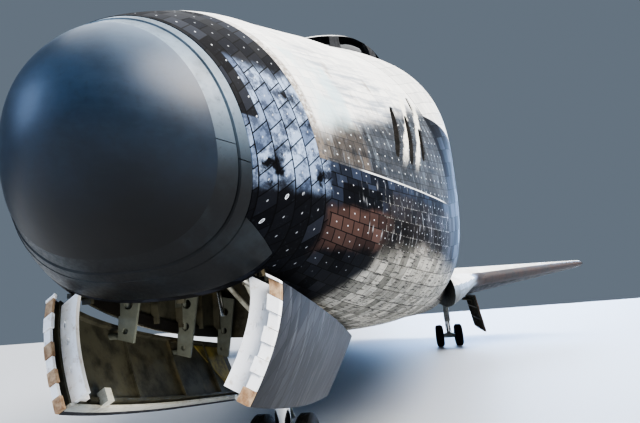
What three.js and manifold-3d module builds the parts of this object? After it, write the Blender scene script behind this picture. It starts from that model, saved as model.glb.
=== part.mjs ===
// A winged re-entry spaceplane parked on its landing gear: a blunt carbon nose cap, a crewed forward
// fuselage, a long load bay under two clamshell doors, delta wings, three main engines, two
// orbital-engine pods, a swept fin with a split rudder, and a body flap.
//
// Lengths are in inches, the unit of the type's own drawings, and every mesh is turned to
// millimetres when it is made. A place is given as station (distance aft of a datum ahead of the
// nose), port (distance to the left of the centre plane) and height (above a datum under the keel).
// In the finished part X is port, Y is aft and Z is up.
import * as THREE from "three";
import { mergeVertices } from "three/addons/utils/BufferGeometryUtils.js";
import Module from "manifold-3d";

const wasm = await Module();
wasm.setup();

// Driving dimensions
const MM_PER_INCH = 25.4;
const GIRTH = 32; // points round a fuselage section
const GAP = 0.06; // between fixed neighbours
const CLEAR = 0.4; // between a moving piece and its neighbours

const PITCH = THREE.MathUtils.degToRad(3.5); // how far the nose is down when it is parked
const TOTAL_HEIGHT = 687; // floor to fin tip
const NOSE_TIP = 235;
const CABIN_END = 582;
const BAY_END = 1307;
const BASE = 1528; // the rear face round the engines
const AFT_MOST = 1702; // the fin's top rear corner

const BODY_HALF_WIDTH = 106;
const BAY_AXIS_HEIGHT = 400;
const SILL_HEIGHT = 414;
const BAY_RADIUS = 93;

const WING_BREAK = 188; // where the strake meets the 45 degree leading edge
const WING_TIP = 468.3;
const ELEVON_HINGE = 1387;
const DIHEDRAL = THREE.MathUtils.degToRad(3.5);

const FIN_ROOT = 500;
const FIN_TIP = 815.7;

// The fuselage's outer sections. Each is two superellipse halves that meet at the widest height.
const BODY_COLUMNS = ["station", "width", "widest", "top", "bottom", "round", "square"];
const BODY_ROWS = [
  [235, 0, 339, 339, 339, 2.0, 2.0],
  [240, 16, 338, 354.5, 323, 2.0, 2.25],
  [250, 27.4, 335.5, 365.5, 311.5, 2.0, 2.4],
  [265, 38, 332, 377, 301, 2.0, 2.5],
  [285, 49, 330, 389.5, 293, 2.0, 2.5],
  [300, 56, 329.5, 396.5, 289, 2.0, 2.55],
  [325, 67, 330, 408.8, 284, 2.0, 2.7],
  [350, 77, 332, 421, 280.5, 2.02, 2.9],
  [378, 87, 337, 433, 277, 2.05, 3.1],
  [420, 97.5, 358, 451, 273, 2.3, 3.5],
  [460, 103, 376, 466, 271.5, 2.46, 3.75],
  [500, 105, 388, 480, 269.5, 2.38, 4.1],
  [540, 105.8, 395, 492, 268, 2.2, 4.8],
  [582, 106, 400, 506, 267, 2.0, 6],
  [1307, 106, 400, 506, 267, 2.0, 6],
  [1360, 111, 388, 508, 267, 1.95, 7],
  [1420, 120, 374, 510, 268, 1.9, 7],
  [1480, 128, 362, 510, 272, 1.85, 7],
  [1528, 132, 356, 507, 280, 1.85, 6],
];

// The canopy, which stands on the forward fuselage and carries the windows
const CANOPY_COLUMNS = ["station", "width", "base", "top", "round"];
const CANOPY_ROWS = [
  [434, 30, 440, 456, 2.6],
  [446, 47, 440, 466, 2.6],
  [462, 60, 436, 480, 2.7],
  [480, 68, 430, 496, 2.8],
  [500, 73, 425, 503, 2.8],
  [520, 76, 420, 505.5, 2.7],
  [550, 77, 415, 506, 2.4],
  [582, 80, 410, 506, 2.1],
];

// Materials, one for each finish
const finish = (color, roughness, metalness = 0) =>
  new THREE.MeshStandardMaterial({ color, roughness, metalness });
const MATERIALS = {
  carbon: finish(0x4a5560, 0.45, 0.1),
  blackTile: finish(0x2b2f38, 0.6),
  whiteTile: finish(0xdcdcd8, 0.7),
  blanket: finish(0xe4e2dc, 0.85),
  glass: finish(0x11161c, 0.1),
  metal: finish(0x9a9d9c, 0.4, 0.8),
  gearPaint: finish(0xb9bcb8, 0.5, 0.3),
  rubber: finish(0x1c1d1f, 0.85),
  cabinLining: finish(0x7d8480, 0.7),
  engine: finish(0x8f8a80, 0.35, 0.9),
};

// Small helpers for shapes

// A closed solid from merged triangles, turned outwards if its faces point in.
function solidFrom(positions, triangles) {
  const make = (tris) =>
    new wasm.Manifold(
      new wasm.Mesh({
        numProp: 3,
        vertProperties: new Float32Array(positions),
        triVerts: new Uint32Array(tris),
      }),
    );
  const made = make(triangles);
  if (made.volume() >= 0) return made;
  const turned = [];
  for (let i = 0; i < triangles.length; i += 3)
    turned.push(triangles[i], triangles[i + 2], triangles[i + 1]);
  return make(turned);
}

function solidOf(geometry, matrix) {
  const bare = geometry.index ? geometry.toNonIndexed() : geometry.clone();
  bare.deleteAttribute("normal");
  bare.deleteAttribute("uv");
  if (matrix) bare.applyMatrix4(matrix);
  const merged = mergeVertices(bare, 1e-4);
  return solidFrom(merged.attributes.position.array, merged.index.array);
}

// A solid through rings of points, each ring with the same count, closed by a fan at each end.
function loft(rings) {
  const count = rings[0].length;
  const positions = rings.flat(2);
  const triangles = [];
  for (let r = 0; r + 1 < rings.length; r++)
    for (let i = 0; i < count; i++) {
      const j = (i + 1) % count;
      const [a, b] = [r * count + i, r * count + j];
      const [c, d] = [a + count, b + count];
      triangles.push(a, b, d, a, d, c);
    }
  for (const [ring, start, flip] of [
    [rings[0], 0, true],
    [rings.at(-1), (rings.length - 1) * count, false],
  ]) {
    const middle = positions.length / 3;
    const centre = [0, 1, 2].map((k) => ring.reduce((sum, p) => sum + p[k], 0) / count);
    positions.push(...centre);
    for (let i = 0; i < count; i++) {
      const [a, b] = [start + i, start + ((i + 1) % count)];
      triangles.push(...(flip ? [middle, b, a] : [middle, a, b]));
    }
  }
  return solidFrom(positions, triangles);
}

// A point from its station, port and height.
const at = (station, port, height) => [port, station, height];

function box(station, port, height) {
  const size = [port, station, height].map(([low, high]) => high - low);
  const middle = [port, station, height].map(([low, high]) => (low + high) / 2);
  return solidOf(
    new THREE.BoxGeometry(...size),
    new THREE.Matrix4().makeTranslation(...middle),
  );
}

// A round bar, tapered if its two radii differ, between two points.
function bar(from, to, radius, radiusTo = radius, sides = 16) {
  const start = new THREE.Vector3(...from);
  const way = new THREE.Vector3(...to).sub(start);
  const geometry = new THREE.CylinderGeometry(radiusTo, radius, way.length(), sides);
  const turn = new THREE.Quaternion().setFromUnitVectors(
    new THREE.Vector3(0, 1, 0),
    way.clone().normalize(),
  );
  const middle = start.clone().addScaledVector(way, 0.5);
  const one = new THREE.Vector3(1, 1, 1);
  return solidOf(geometry, new THREE.Matrix4().compose(middle, turn, one));
}

// A flat polygon given a thickness along its own normal, from depth to depth + thickness.
function slab(corners, depth, thickness) {
  const [a, b, c] = corners.map((p) => new THREE.Vector3(...p));
  const normal = b.clone().sub(a).cross(c.clone().sub(a)).normalize();
  const ring = (d) =>
    corners.map((p) => new THREE.Vector3(...p).addScaledVector(normal, d).toArray());
  return loft([ring(depth), ring(depth + thickness)]);
}

// A turned solid whose profile is [radius, distance] pairs along a line from a point.
function turned(profile, from, direction, sides = 32) {
  const points = profile.map(([radius, along]) => new THREE.Vector2(radius, along));
  const turn = new THREE.Quaternion().setFromUnitVectors(
    new THREE.Vector3(0, 1, 0),
    new THREE.Vector3(...direction).normalize(),
  );
  const place = new THREE.Matrix4().compose(
    new THREE.Vector3(...from),
    turn,
    new THREE.Vector3(1, 1, 1),
  );
  return solidOf(new THREE.LatheGeometry(points, sides), place);
}

const mirrored = (ring) => ring.map(([x, y, z]) => [-x, y, z]);
const union = (solids) => solids.reduce((whole, next) => whole.add(next));

// Smooth curve through a table's column that never overshoots its rows.
function through(xs, ys, x) {
  const last = xs.length - 1;
  if (x <= xs[0]) return ys[0];
  if (x >= xs[last]) return ys[last];
  const slope = (i) => (ys[i + 1] - ys[i]) / (xs[i + 1] - xs[i]);
  const tangent = (i) => {
    if (i === 0) return slope(0);
    if (i === last) return slope(last - 1);
    const [before, after] = [slope(i - 1), slope(i)];
    return before * after <= 0 ? 0 : (2 * before * after) / (before + after);
  };
  const i = xs.findIndex((_, k) => x < xs[k + 1]);
  const width = xs[i + 1] - xs[i];
  const t = (x - xs[i]) / width;
  return (
    ys[i] * (1 + 2 * t) * (1 - t) ** 2 +
    tangent(i) * width * t * (1 - t) ** 2 +
    ys[i + 1] * t * t * (3 - 2 * t) +
    tangent(i + 1) * width * t * t * (t - 1)
  );
}

// The nose is round, so its rows are read along the square root of the distance from its tip.
const noseScale = (station) => Math.sqrt(Math.max(0, station - NOSE_TIP));
const bodyScale = BODY_ROWS.map(([station]) => noseScale(station));
function bodyAt(station) {
  const row = {};
  BODY_COLUMNS.forEach((name, k) => {
    const column = BODY_ROWS.map((values) => values[k]);
    row[name] = through(bodyScale, column, noseScale(station));
  });
  return row;
}

const power = (value, exponent) => Math.sign(value) * Math.abs(value) ** exponent;

function bodyRing(station, inset = 0, count = GIRTH) {
  const row = bodyAt(station);
  const ring = [];
  for (let i = 0; i < count; i++) {
    const angle = (i / count) * 2 * Math.PI;
    const upper = Math.sin(angle) >= 0;
    const exponent = 2 / (upper ? row.round : row.square);
    const half = upper ? row.top - row.widest : row.widest - row.bottom;
    ring.push(
      at(
        station,
        (row.width - inset) * power(Math.cos(angle), exponent),
        row.widest + (half - inset) * power(Math.sin(angle), exponent),
      ),
    );
  }
  return ring;
}

const bodyLoft = (stations, inset, count) =>
  loft(stations.map((s) => bodyRing(s, inset, count)));

function canopyRing(station, inset = 0) {
  const row = {};
  CANOPY_COLUMNS.forEach((name, k) => {
    const [xs, ys] = [CANOPY_ROWS.map((r) => r[0]), CANOPY_ROWS.map((r) => r[k])];
    row[name] = through(xs, ys, station);
  });
  const ring = [at(station, row.width - inset, row.base - 30)];
  const steps = 12;
  for (let i = 0; i <= steps; i++) {
    const angle = (i / steps) * Math.PI;
    ring.push(
      at(
        station,
        (row.width - inset) * power(Math.cos(angle), 2 / row.round),
        row.base + (row.top - row.base - inset) * power(Math.sin(angle), 2 / row.round),
      ),
    );
  }
  ring.push(at(station, -(row.width - inset), row.base - 30));
  return ring;
}

// The part's group: body-fixed axes pitched nose down, placed so that the wheels stand on Z = 0.
const part = new THREE.Group();
const airframe = new THREE.Group();
part.add(airframe);
airframe.rotation.x = PITCH;
const tipLift = AFT_MOST * Math.sin(PITCH) + FIN_TIP * Math.cos(PITCH);
const floorDrop = (TOTAL_HEIGHT - tipLift) * MM_PER_INCH;
const noseY = NOSE_TIP * Math.cos(PITCH) - 339 * Math.sin(PITCH);
const tailY = AFT_MOST * Math.cos(PITCH) - FIN_TIP * Math.sin(PITCH);
airframe.position.set(0, (-(noseY + tailY) / 2) * MM_PER_INCH, floorDrop);

// Height, in the airframe's own frame, of the floor under a station.
const floorUnder = (station) =>
  (-floorDrop / MM_PER_INCH - station * Math.sin(PITCH)) / Math.cos(PITCH);

function piece(name, solid, material, parent = airframe) {
  const raw = solid.getMesh();
  const positions = new Float32Array(raw.numVert * 3);
  for (let i = 0; i < raw.numVert; i++)
    for (let k = 0; k < 3; k++)
      positions[i * 3 + k] = raw.vertProperties[i * raw.numProp + k] * MM_PER_INCH;
  const geometry = new THREE.BufferGeometry();
  geometry.setAttribute("position", new THREE.BufferAttribute(positions, 3));
  geometry.setIndex(new THREE.BufferAttribute(raw.triVerts, 1));
  geometry.computeVertexNormals();
  const mesh = new THREE.Mesh(geometry, material);
  mesh.name = name;
  parent.add(mesh);
  return mesh;
}

const SIDES = [
  ["port", 1],
  ["starboard", -1],
];

// Nose cap and forward fuselage
const CAP_EDGE = 256.5;
const CAP_SLANT = 0.17; // how far the cap's rear joint leans forward for each inch of height
const CHIN = { end: 272, height: 306.5 }; // the chin panel below the cap
const WELL = { from: 274, to: 388, half: 30.5, roof: 326 };
const HATCH = { station: 490, height: 352, radius: 20, inner: 17, hinge: 104 };
const CABIN_WALL = 12;
const CANOPY_WALL = 3.6;
const MIDDECK = 320;

// Everything ahead of the slanted joint between the cap and the fuselage
function capCutter(shift) {
  const face = (height) => CAP_EDGE + shift - CAP_SLANT * (height - 339);
  const chin = CHIN.end + shift;
  const ring = (port) => [
    at(200, port, 250),
    at(chin, port, 250),
    at(chin, port, CHIN.height + shift),
    at(face(CHIN.height + 8), port, CHIN.height + 8 + shift),
    at(face(430), port, 430),
    at(200, port, 430),
  ];
  return loft([ring(-80), ring(80)]);
}

const TIP_STATIONS = [235.02, 236, 238.5, 243, 249, 257, 267, 279, 290];
const CHEEK_STATIONS = [303, 320, 342, 368, 398, 432, 470, 508, 545, 581.9];
const CANOPY_STATIONS = [434.5, 441, 451, 464, 480, 500, 525, 581.9];
const forwardBody = bodyLoft([...TIP_STATIONS, ...CHEEK_STATIONS]);
const canopyLoft = (inset, to) =>
  loft([...CANOPY_STATIONS.slice(0, -1), to].map((s) => canopyRing(s, inset)));

// The windows: corners on the canopy's front, from the centre outwards, low edge then high edge
const PANES = [
  [at(441, 3, 460), at(446, 31, 457), at(475.5, 27, 487), at(473, 3, 490)],
  [at(448, 35, 455), at(463, 55, 448), at(488, 48, 482), at(477, 31, 485.5)],
  [at(467, 58.5, 446), at(493, 71, 443), at(508, 63, 475), at(491, 51.5, 480)],
];
const OVERHEAD_PANE = [at(520, 5, 506), at(520, 25, 502), at(542, 25, 502), at(542, 5, 506)];

// Forward reaction-control module: the top of the nose between two frames
const MODULE = { from: 279, to: 388, edge: 332 };
function moduleCutter(grow) {
  const ring = (port) => [
    at(MODULE.from - grow, port, MODULE.edge - grow),
    at(MODULE.to + grow, port, MODULE.edge - grow),
    at(MODULE.to + grow, port, 500),
    at(MODULE.from - 24 - grow, port, 500),
  ];
  return loft([ring(-100), ring(100)]);
}
function moduleCore(grow) {
  const ring = (station, half, top) => [
    at(station, -half + grow, 328),
    at(station, half - grow, 328),
    at(station, half * 0.55 - grow, top - grow),
    at(station, -half * 0.55 + grow, top - grow),
  ];
  return loft([ring(286 + grow, 36, 372), ring(398, 70, 424)]);
}

// The thrusters in each flank: where they open, and how much each barrel drops on its way out
const SIDE_THRUSTERS = [
  [333.8, 61.4, 356.9, 14],
  [348.4, 66.2, 358.4, 14],
  [362.7, 69.5, 373.7, 0],
  [364.7, 71.7, 359.3, 0],
];

function thrusterHoles() {
  const holes = [];
  for (const [, side] of SIDES)
    for (const [station, port, height, drop] of SIDE_THRUSTERS) {
      const inside = at(station, side * (port - 12), height + drop / 2);
      holes.push(bar(inside, at(station, side * (port + 14), height - drop / 2), 3, 5, 8));
    }
  for (const port of [-14.5, 0, 14.5]) {
    holes.push(bar(at(352, port, 402), at(350, port, 436), 4, 6, 8));
    holes.push(bar(at(326, port, 391), at(298, port, 399), 4, 5, 8));
  }
  return union(holes);
}

function hatchPlug(grow) {
  const { station, height, radius, inner } = HATCH;
  return bar(
    at(station, 80, height),
    at(station, 120, height),
    inner - 1 + grow,
    radius + 2 + grow,
    36,
  );
}

const cabinVoid = () =>
  bodyLoft([400, 432, 470, 508, 545, 574], CABIN_WALL, 20)
    .intersect(box([404, 574], [-120, 120], [MIDDECK, 520]))
    .add(canopyLoft(CANOPY_WALL, 574).intersect(box([430, 574], [-100, 100], [400, 520])));

function makeForwardFuselage() {
  piece("nose_cap", forwardBody.intersect(capCutter(0)), MATERIALS.carbon);
  const module = forwardBody
    .intersect(moduleCutter(-GAP))
    .subtract(moduleCore(0))
    .subtract(thrusterHoles());
  piece("forward_rcs_module", module, MATERIALS.whiteTile);

  const openings = [];
  for (const [, side] of SIDES)
    for (const corners of [...PANES, OVERHEAD_PANE])
      openings.push(slab(side > 0 ? corners : mirrored(corners), -9, 18));
  const well = box([WELL.from, WELL.to], [-WELL.half, WELL.half], [240, WELL.roof]);
  const shell = forwardBody
    .add(canopyLoft(0, 581.9))
    .subtract(capCutter(GAP))
    .subtract(moduleCutter(0).subtract(moduleCore(GAP)))
    .subtract(cabinVoid())
    .subtract(union(openings))
    .subtract(hatchPlug(CLEAR))
    .subtract(well);
  piece("forward_fuselage", shell, MATERIALS.blackTile);

  const glassFrom = CANOPY_WALL + GAP;
  const region = box([438, 512], [-90, 90], [436, 520]).add(
    box([505, 548], [-29, 29], [480, 520]),
  );
  const glass = canopyLoft(glassFrom, 574).subtract(canopyLoft(glassFrom + 1.4, 574));
  piece("windshield", glass.intersect(region), MATERIALS.glass);

  const hatch = forwardBody
    .intersect(hatchPlug(0))
    .subtract(bodyLoft([432, 470, 508, 545], CABIN_WALL, 20));
  piece("crew_hatch", hatch, MATERIALS.whiteTile);

  const seats = [];
  for (const [, side] of SIDES) {
    const port = (a, b) => [side * a, side * b].sort((x, y) => x - y);
    seats.push(box([488, 510], port(15, 33), [417, 436]));
    seats.push(box([508, 513], port(15, 33), [417, 468]));
  }
  const deck = box([452, 573], [-50, 50], [412, 418])
    .add(box([462, 474], [-40, 40], [417, 458]))
    .add(box([480, 520], [-7, 7], [417, 440]))
    .add(box([562, 573], [-48, 48], [417, 462]))
    .add(union(seats));
  piece("flight_deck", deck, MATERIALS.cabinLining);
}

// Mid fuselage and load bay
const bayCylinder = (from, to, radius) =>
  bar(at(from, 0, BAY_AXIS_HEIGHT), at(to, 0, BAY_AXIS_HEIGHT), radius, radius, 48);
const DOOR = { thick: 5, low: 416.5, hingePort: 108.5, hingeHeight: 421 };

function makeMidFuselage() {
  const trough = bodyLoft([582.1, 1306.9])
    .intersect(box([500, 1400], [-150, 150], [200, SILL_HEIGHT]))
    .subtract(bayCylinder(560, 1330, BAY_RADIUS).add(box([560, 1330], [-93, 93], [400, 450])));
  piece("mid_fuselage", trough, MATERIALS.blanket);

  const [from, to] = [CABIN_END + CLEAR, BAY_END - CLEAR];
  const skin = bodyLoft([from, to]).subtract(bodyLoft([from - 5, to + 5], DOOR.thick));
  for (const [name, side] of SIDES) {
    const [low, high] = side > 0 ? [CLEAR / 2, 150] : [-150, -CLEAR / 2];
    const half = skin.intersect(box([500, 1400], [low, high], [DOOR.low, 550]));
    const knuckles = [];
    for (let k = 0; k < 13; k++) {
      const station = from + 12 + (k * (to - from - 24)) / 12;
      const foot = [side * 104, side * (DOOR.hingePort + 1.6)].sort((x, y) => x - y);
      knuckles.push(
        box([station - 3, station + 3], foot, [DOOR.hingeHeight - 1.6, DOOR.hingeHeight + 1.6]),
      );
    }
    piece(`bay_door_${name}`, half.add(union(knuckles)), MATERIALS.blanket);
  }
}

// Aft fuselage, base shield and body flap
const AFT_STATIONS = [1307.1, 1345, 1390, 1450, 1519.9];
const FLAP = { hinge: 1532, height: 287, radius: 7, half: 130, end: 1613 };
const ENGINES = [
  { name: "main_engine_upper", port: 0, station: 1445, height: 443, pitch: 16, yaw: 0 },
  { name: "main_engine_port", port: 53, station: 1468.2, height: 342.6, pitch: 10, yaw: 3.5 },
  { name: "main_engine_starboard", port: -53, station: 1468.2, height: 342.6, pitch: 10, yaw: -3.5 },
];

function engineWay({ pitch, yaw }) {
  const [up, out] = [THREE.MathUtils.degToRad(pitch), THREE.MathUtils.degToRad(yaw)];
  return at(Math.cos(up) * Math.cos(out), Math.cos(up) * Math.sin(out), Math.sin(up));
}

// The bell of a main engine: [distance from the gimbal, outer radius]
const BELL = [
  [40, 9],
  [56, 18],
  [76, 26],
  [104, 34.6],
  [130, 40.8],
  [157, 45.4],
];
const BELL_WALL = 1.6;

function flapCove(radius) {
  return bar(at(FLAP.hinge, -150, FLAP.height), at(FLAP.hinge, 150, FLAP.height), radius, radius, 32);
}

function makeAftFuselage() {
    const inner = bodyLoft([1313, 1360, 1430, 1525], 7, 20);
  const shell = bodyLoft(AFT_STATIONS).subtract(inner);
  piece("aft_fuselage", shell, MATERIALS.blanket);

  let shield = bodyLoft([1520.1, BASE]);
  for (const engine of ENGINES) {
    const upper = engine.port === 0;
    const [far, outer, end] = upper ? [102, 41, 38] : [78, 43, 30];
    const start = upper ? 66 : 38;
    const dome = turned(
      [[0, start], [outer, start], [outer, far - 18], [outer - 3, far - 9], [end, far], [0, far]],
      at(engine.station, engine.port, engine.height),
      engineWay(engine),
      20,
    ).intersect(box([1521, 1700], [-200, 200], [200, 600]));
    const hole = turned(
      [[0, 30], [outer - 4, 30], [outer - 4, far - 18], [end - 3, far - 3], [end - 3, far + 10], [0, far + 10]],
      at(engine.station, engine.port, engine.height),
      engineWay(engine),
      20,
    );
    shield = shield.add(dome).subtract(hole);
  }
  shield = shield
    .subtract(flapCove(FLAP.radius + CLEAR))
    .subtract(box([1526.5, 1560], [-150, 150], [250, 300]));
  piece("base_heat_shield", shield, MATERIALS.blackTile);

  const { hinge, height, radius, half, end } = FLAP;
  const ring = (port) => [
    at(hinge, port, height - radius),
    at(end, port, height - radius + 1),
    at(end + 0.5, port, height - radius + 2),
    at(end, port, height - radius + 3),
    at(hinge, port, height + radius),
  ];
  const flap = loft([ring(-half), ring(half)]).add(
    bar(at(hinge, -half, height), at(hinge, half, height), radius, radius, 32),
  );
  piece("body_flap", flap, MATERIALS.blackTile);
}

function makeEngines() {
  for (const engine of ENGINES) {
    const outside = BELL.map(([along, radius]) => [radius, along]);
    const inside = BELL.slice(1)
      .map(([along, radius]) => [radius - BELL_WALL, along])
      .reverse();
    const profile = [
      [0, -9],
      [18, -9],
      [23, 0],
      [23, 30],
      ...outside,
      ...inside,
      [4.5, 39],
      [0, 39],
    ];
    const place = at(engine.station, engine.port, engine.height);
    piece(engine.name, turned(profile, place, engineWay(engine), 20), MATERIALS.engine);
  }
}

// Orbital-engine pods, one on each shoulder of the aft fuselage
const POD_COLUMNS = ["station", "port", "height", "width", "tall"];
const POD_ROWS = [
  [1311, 66, 474, 3, 3],
  [1318, 67, 474, 15, 13],
  [1332, 70, 475, 26, 22],
  [1360, 75, 478, 38, 32],
  [1400, 80, 481, 47, 40],
  [1440, 83, 484, 51, 44],
  [1480, 85, 486, 52, 45],
  [1520, 87, 487, 51, 44],
  [1545, 88, 487, 47, 40],
];
const OMS = { station: 1518, port: 88, height: 490, pitch: 15.8, yaw: 12.3, length: 74 };

function makePods() {
  const fromStations = [1311, 1317, 1330, 1355, 1395, 1440, 1545];
  const bodyBehind = bodyLoft([...AFT_STATIONS, BASE + GAP], -GAP);
  for (const [name, side] of SIDES) {
    const rings = fromStations.map((station) => {
      const row = {};
      POD_COLUMNS.forEach((column, k) => {
        row[column] = through(POD_ROWS.map((r) => r[0]), POD_ROWS.map((r) => r[k]), station);
      });
      const ring = [];
      for (let i = 0; i < 20; i++) {
        const angle = (i / 20) * 2 * Math.PI;
        ring.push(
          at(
            station,
            side * (row.port + row.width * power(Math.cos(angle), 0.85)),
            row.height + row.tall * power(Math.sin(angle), 0.85),
          ),
        );
      }
      return ring;
    });
    const way = engineWay({ pitch: OMS.pitch, yaw: side * OMS.yaw });
    const gimbal = at(OMS.station, side * OMS.port, OMS.height);
    const socket = turned([[0, -14], [14, -14], [20, 20], [32, 60], [0, 60]], gimbal, way, 16);
    const stub = box([1500, 1566], side > 0 ? [96, 128] : [-128, -96], [456, 480]);
    const pod = loft(rings).add(stub).subtract(bodyBehind).subtract(socket);
    const parts = pod.decompose().sort((a, b) => b.volume() - a.volume());
    piece(`oms_pod_${name}`, parts[0], MATERIALS.blanket);
    const profile = [
      [0, -13.8],
      [8, -13.8],
      [8, 6],
      [7, 12],
      [15.5, 30],
      [24.5, OMS.length],
      [23.5, OMS.length],
      [14.3, 30],
      [4, 12],
      [0, 12],
    ];
    piece(`oms_nozzle_${name}`, turned(profile, gimbal, way, 16), MATERIALS.engine);
  }
}

// Wings
const KEEL = 267.2; // the wing's underside is flat inboard at this height
const EDGE_STATIONS = [470, 500, 540, 580, 980, 1005, 1024, 1045, 1304.3, 1450];
const EDGE_PORTS = [92, 101, 109, 116.8, 181, 185.8, 192, 209, WING_TIP, WING_TIP];
function edgeAt(station) {
  const i = Math.min(
    EDGE_STATIONS.length - 2,
    Math.max(0, EDGE_STATIONS.findIndex((s, k) => k > 0 && station <= s) - 1),
  );
  const t = (station - EDGE_STATIONS[i]) / (EDGE_STATIONS[i + 1] - EDGE_STATIONS[i]);
  return EDGE_PORTS[i] + t * (EDGE_PORTS[i + 1] - EDGE_PORTS[i]);
}
const wingPlane = (port) => 282 + port * Math.tan(DIHEDRAL);
const wingTrailing = (port) => 1525.2 - 0.1775 * port;

function wingHalf(station, port) {
  const front = 836 + port;
  const chord = wingTrailing(port) - front;
  const ratio = 0.113 + (0.007 * port) / WING_TIP;
  const f = Math.min(1, Math.max(0, (station - front) / chord));
  const main =
    5 * ratio * chord *
    (0.2969 * Math.sqrt(f) - 0.126 * f - 0.3516 * f ** 2 + 0.2843 * f ** 3 - 0.1036 * f ** 4);
  const depth = Math.min(1, Math.max(0, (edgeAt(Math.min(station, 1040)) - port) / 36));
  const strake = port < 200 ? 16 * Math.sqrt(1 - (1 - depth) ** 2) : 0;
  return Math.max(0.7, (main ** 6 + strake ** 6) ** (1 / 6));
}

function wingRing(station, side, inner = 84) {
  const edge = edgeAt(station);
  const steps = 9;
  const lower = [];
  const upper = [];
  for (let k = 0; k <= steps; k++) {
    const port = inner + (edge - inner) * Math.sin((k / steps) * (Math.PI / 2));
    const half = wingHalf(station, port);
    lower.push(at(station, side * port, Math.max(KEEL, wingPlane(port) - half)));
    upper.unshift(at(station, side * port, wingPlane(port) + half));
  }
  return [...lower, ...upper];
}

// The radius of the elevons' round front edge
const hingeRadius = (port) => 14.3 - (port - 120) * 0.023;

// A cone round the elevon hinge line between two places along the wing
function hingeBar(side, inner, outer, grow, sides = 20) {
  return bar(
    at(ELEVON_HINGE, side * inner, wingPlane(inner)),
    at(ELEVON_HINGE, side * outer, wingPlane(outer)),
    hingeRadius(inner) + grow,
    hingeRadius(outer) + grow,
    sides,
  );
}

const MAIN_GEAR = { station: 1172, port: 136, radius: 22.25, width: 15.5, spacing: 39 };
const MAIN_WELL = { from: 1062, to: 1196, inner: 100, outer: 168, roof: 311 };

const WING_STATIONS = [
  472, 500, 540, 600, 760, 930, 990, 1012, 1030, 1050, 1080, 1120, 1180, 1240, 1304.3, 1345, 1392,
];

function planCutter(side, corners) {
  const ring = (height) => corners.map(([station, port]) => at(station, side * port, height));
  return loft([ring(200), ring(400)]);
}

const EDGE_CUT = 11;
const edgeOuter = [[930, 240], [1400, 700], [1400, WING_TIP - 2.5]];
const edgeInner = (grow) => [
  [1318 + grow * 1.4, WING_TIP - 2.5],
  [1051 + grow * 1.4, 203],
  [1024 + grow, 192 - EDGE_CUT - grow],
  [930 - grow, 173 - EDGE_CUT - grow],
];

function makeWings() {
  const bodySide = bodyLoft([...CHEEK_STATIONS.slice(-5), ...AFT_STATIONS], -GAP);
  for (const [name, side] of SIDES) {
    const whole = loft(WING_STATIONS.map((station) => wingRing(station, side)))
      .subtract(bodySide)
      .subtract(box([400, 1500], [-96, 96], [200, 400]));
    const lipRing = (port) => {
      const front = ELEVON_HINGE - 0.64 * hingeRadius(port);
      return [
        at(front, side * port, 220),
        at(1460, side * port, 220),
        at(1460, side * port, 380),
        at(front, side * port, 380),
      ];
    };
    const rear = loft([lipRing(90), lipRing(480)]);
    const well = box(
      [MAIN_WELL.from, MAIN_WELL.to],
      side > 0 ? [MAIN_WELL.inner, MAIN_WELL.outer] : [-MAIN_WELL.outer, -MAIN_WELL.inner],
      [220, MAIN_WELL.roof],
    );
    const corners = [[930, 240], [1300, 700], [1318, 700], ...edgeInner(0)];
    const cut = [[930 - GAP, 240], [1300, 700], [1318, 700], ...edgeInner(GAP)];
    const panel = whole
      .subtract(rear)
      .subtract(hingeBar(side, 90, 480, CLEAR))
      .subtract(well);
    const largest = (solid) => solid.decompose().sort((a, b) => b.volume() - a.volume())[0];
    piece(`wing_${name}`, largest(panel.subtract(planCutter(side, cut))), MATERIALS.blackTile);
    piece(
      `wing_leading_edge_${name}`,
      largest(panel.intersect(planCutter(side, corners))),
      MATERIALS.carbon,
    );
    for (const [place, inner, outer, flare] of [
      ["inboard", 120, 312.5, 18],
      ["outboard", 318.5, 466.5, 0],
    ]) {
      const ring = (port, reach) => {
        const stations = [1387, 1405, 1430, 1460, wingTrailing(port) - 3];
        const low = [];
        const high = [];
        stations.forEach((station, k) => {
          const t = (station - 1387) / 140;
          const there = port + (port === inner ? flare * t : 0);
          const last = k === stations.length - 1;
          const half = last ? 0.6 : k === 0 ? hingeRadius(there) : wingHalf(station, there);
          low.push(at(station, side * there, Math.max(KEEL, wingPlane(there) - half)));
          high.unshift(at(station, side * there, wingPlane(there) + half));
        });
        return [...low, ...high];
      };
      const middle = (inner + outer) / 2;
      const elevon = loft([ring(inner), ring(middle), ring(outer)]).add(
        hingeBar(side, inner, outer, 0),
      );
      piece(`elevon_${place}_${name}`, elevon, MATERIALS.blackTile);
    }
  }
}

// Fin and split rudder
const RUDDER = { low: 614.7, slope: 0.696, foot: 1511.3 };
const finFront = (height) => 1277.9 + (height - FIN_ROOT);
const finTrailing = (height) => 1546.4 + (height - FIN_ROOT) * Math.tan(THREE.MathUtils.degToRad(26.25));
const rudderHinge = (height) => RUDDER.foot + (height - RUDDER.low) * RUDDER.slope;
function finHalf(station, height) {
  const [front, end] = [finFront(height), finTrailing(height)];
  const u = Math.min(1, Math.max(0, (station - front) / (end - front)));
  const most = 13.5 - (7.5 * (height - FIN_ROOT)) / (FIN_TIP - FIN_ROOT);
  const shape = u < 0.55 ? (u / 0.55) ** 0.6 : 1 - (0.9 * (u - 0.55)) / 0.45;
  return Math.max(0.5, most * shape);
}

function finRing(height) {
  const [front, end] = [finFront(height), finTrailing(height)];
  const port = [];
  const starboard = [];
  for (const u of [0, 0.015, 0.05, 0.12, 0.25, 0.4, 0.55, 1]) {
    const station = front + u * (end - front);
    const half = finHalf(station, height);
    port.push(at(station, half, height));
    starboard.unshift(at(station, -half, height));
  }
  return [...port, ...starboard];
}

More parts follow.
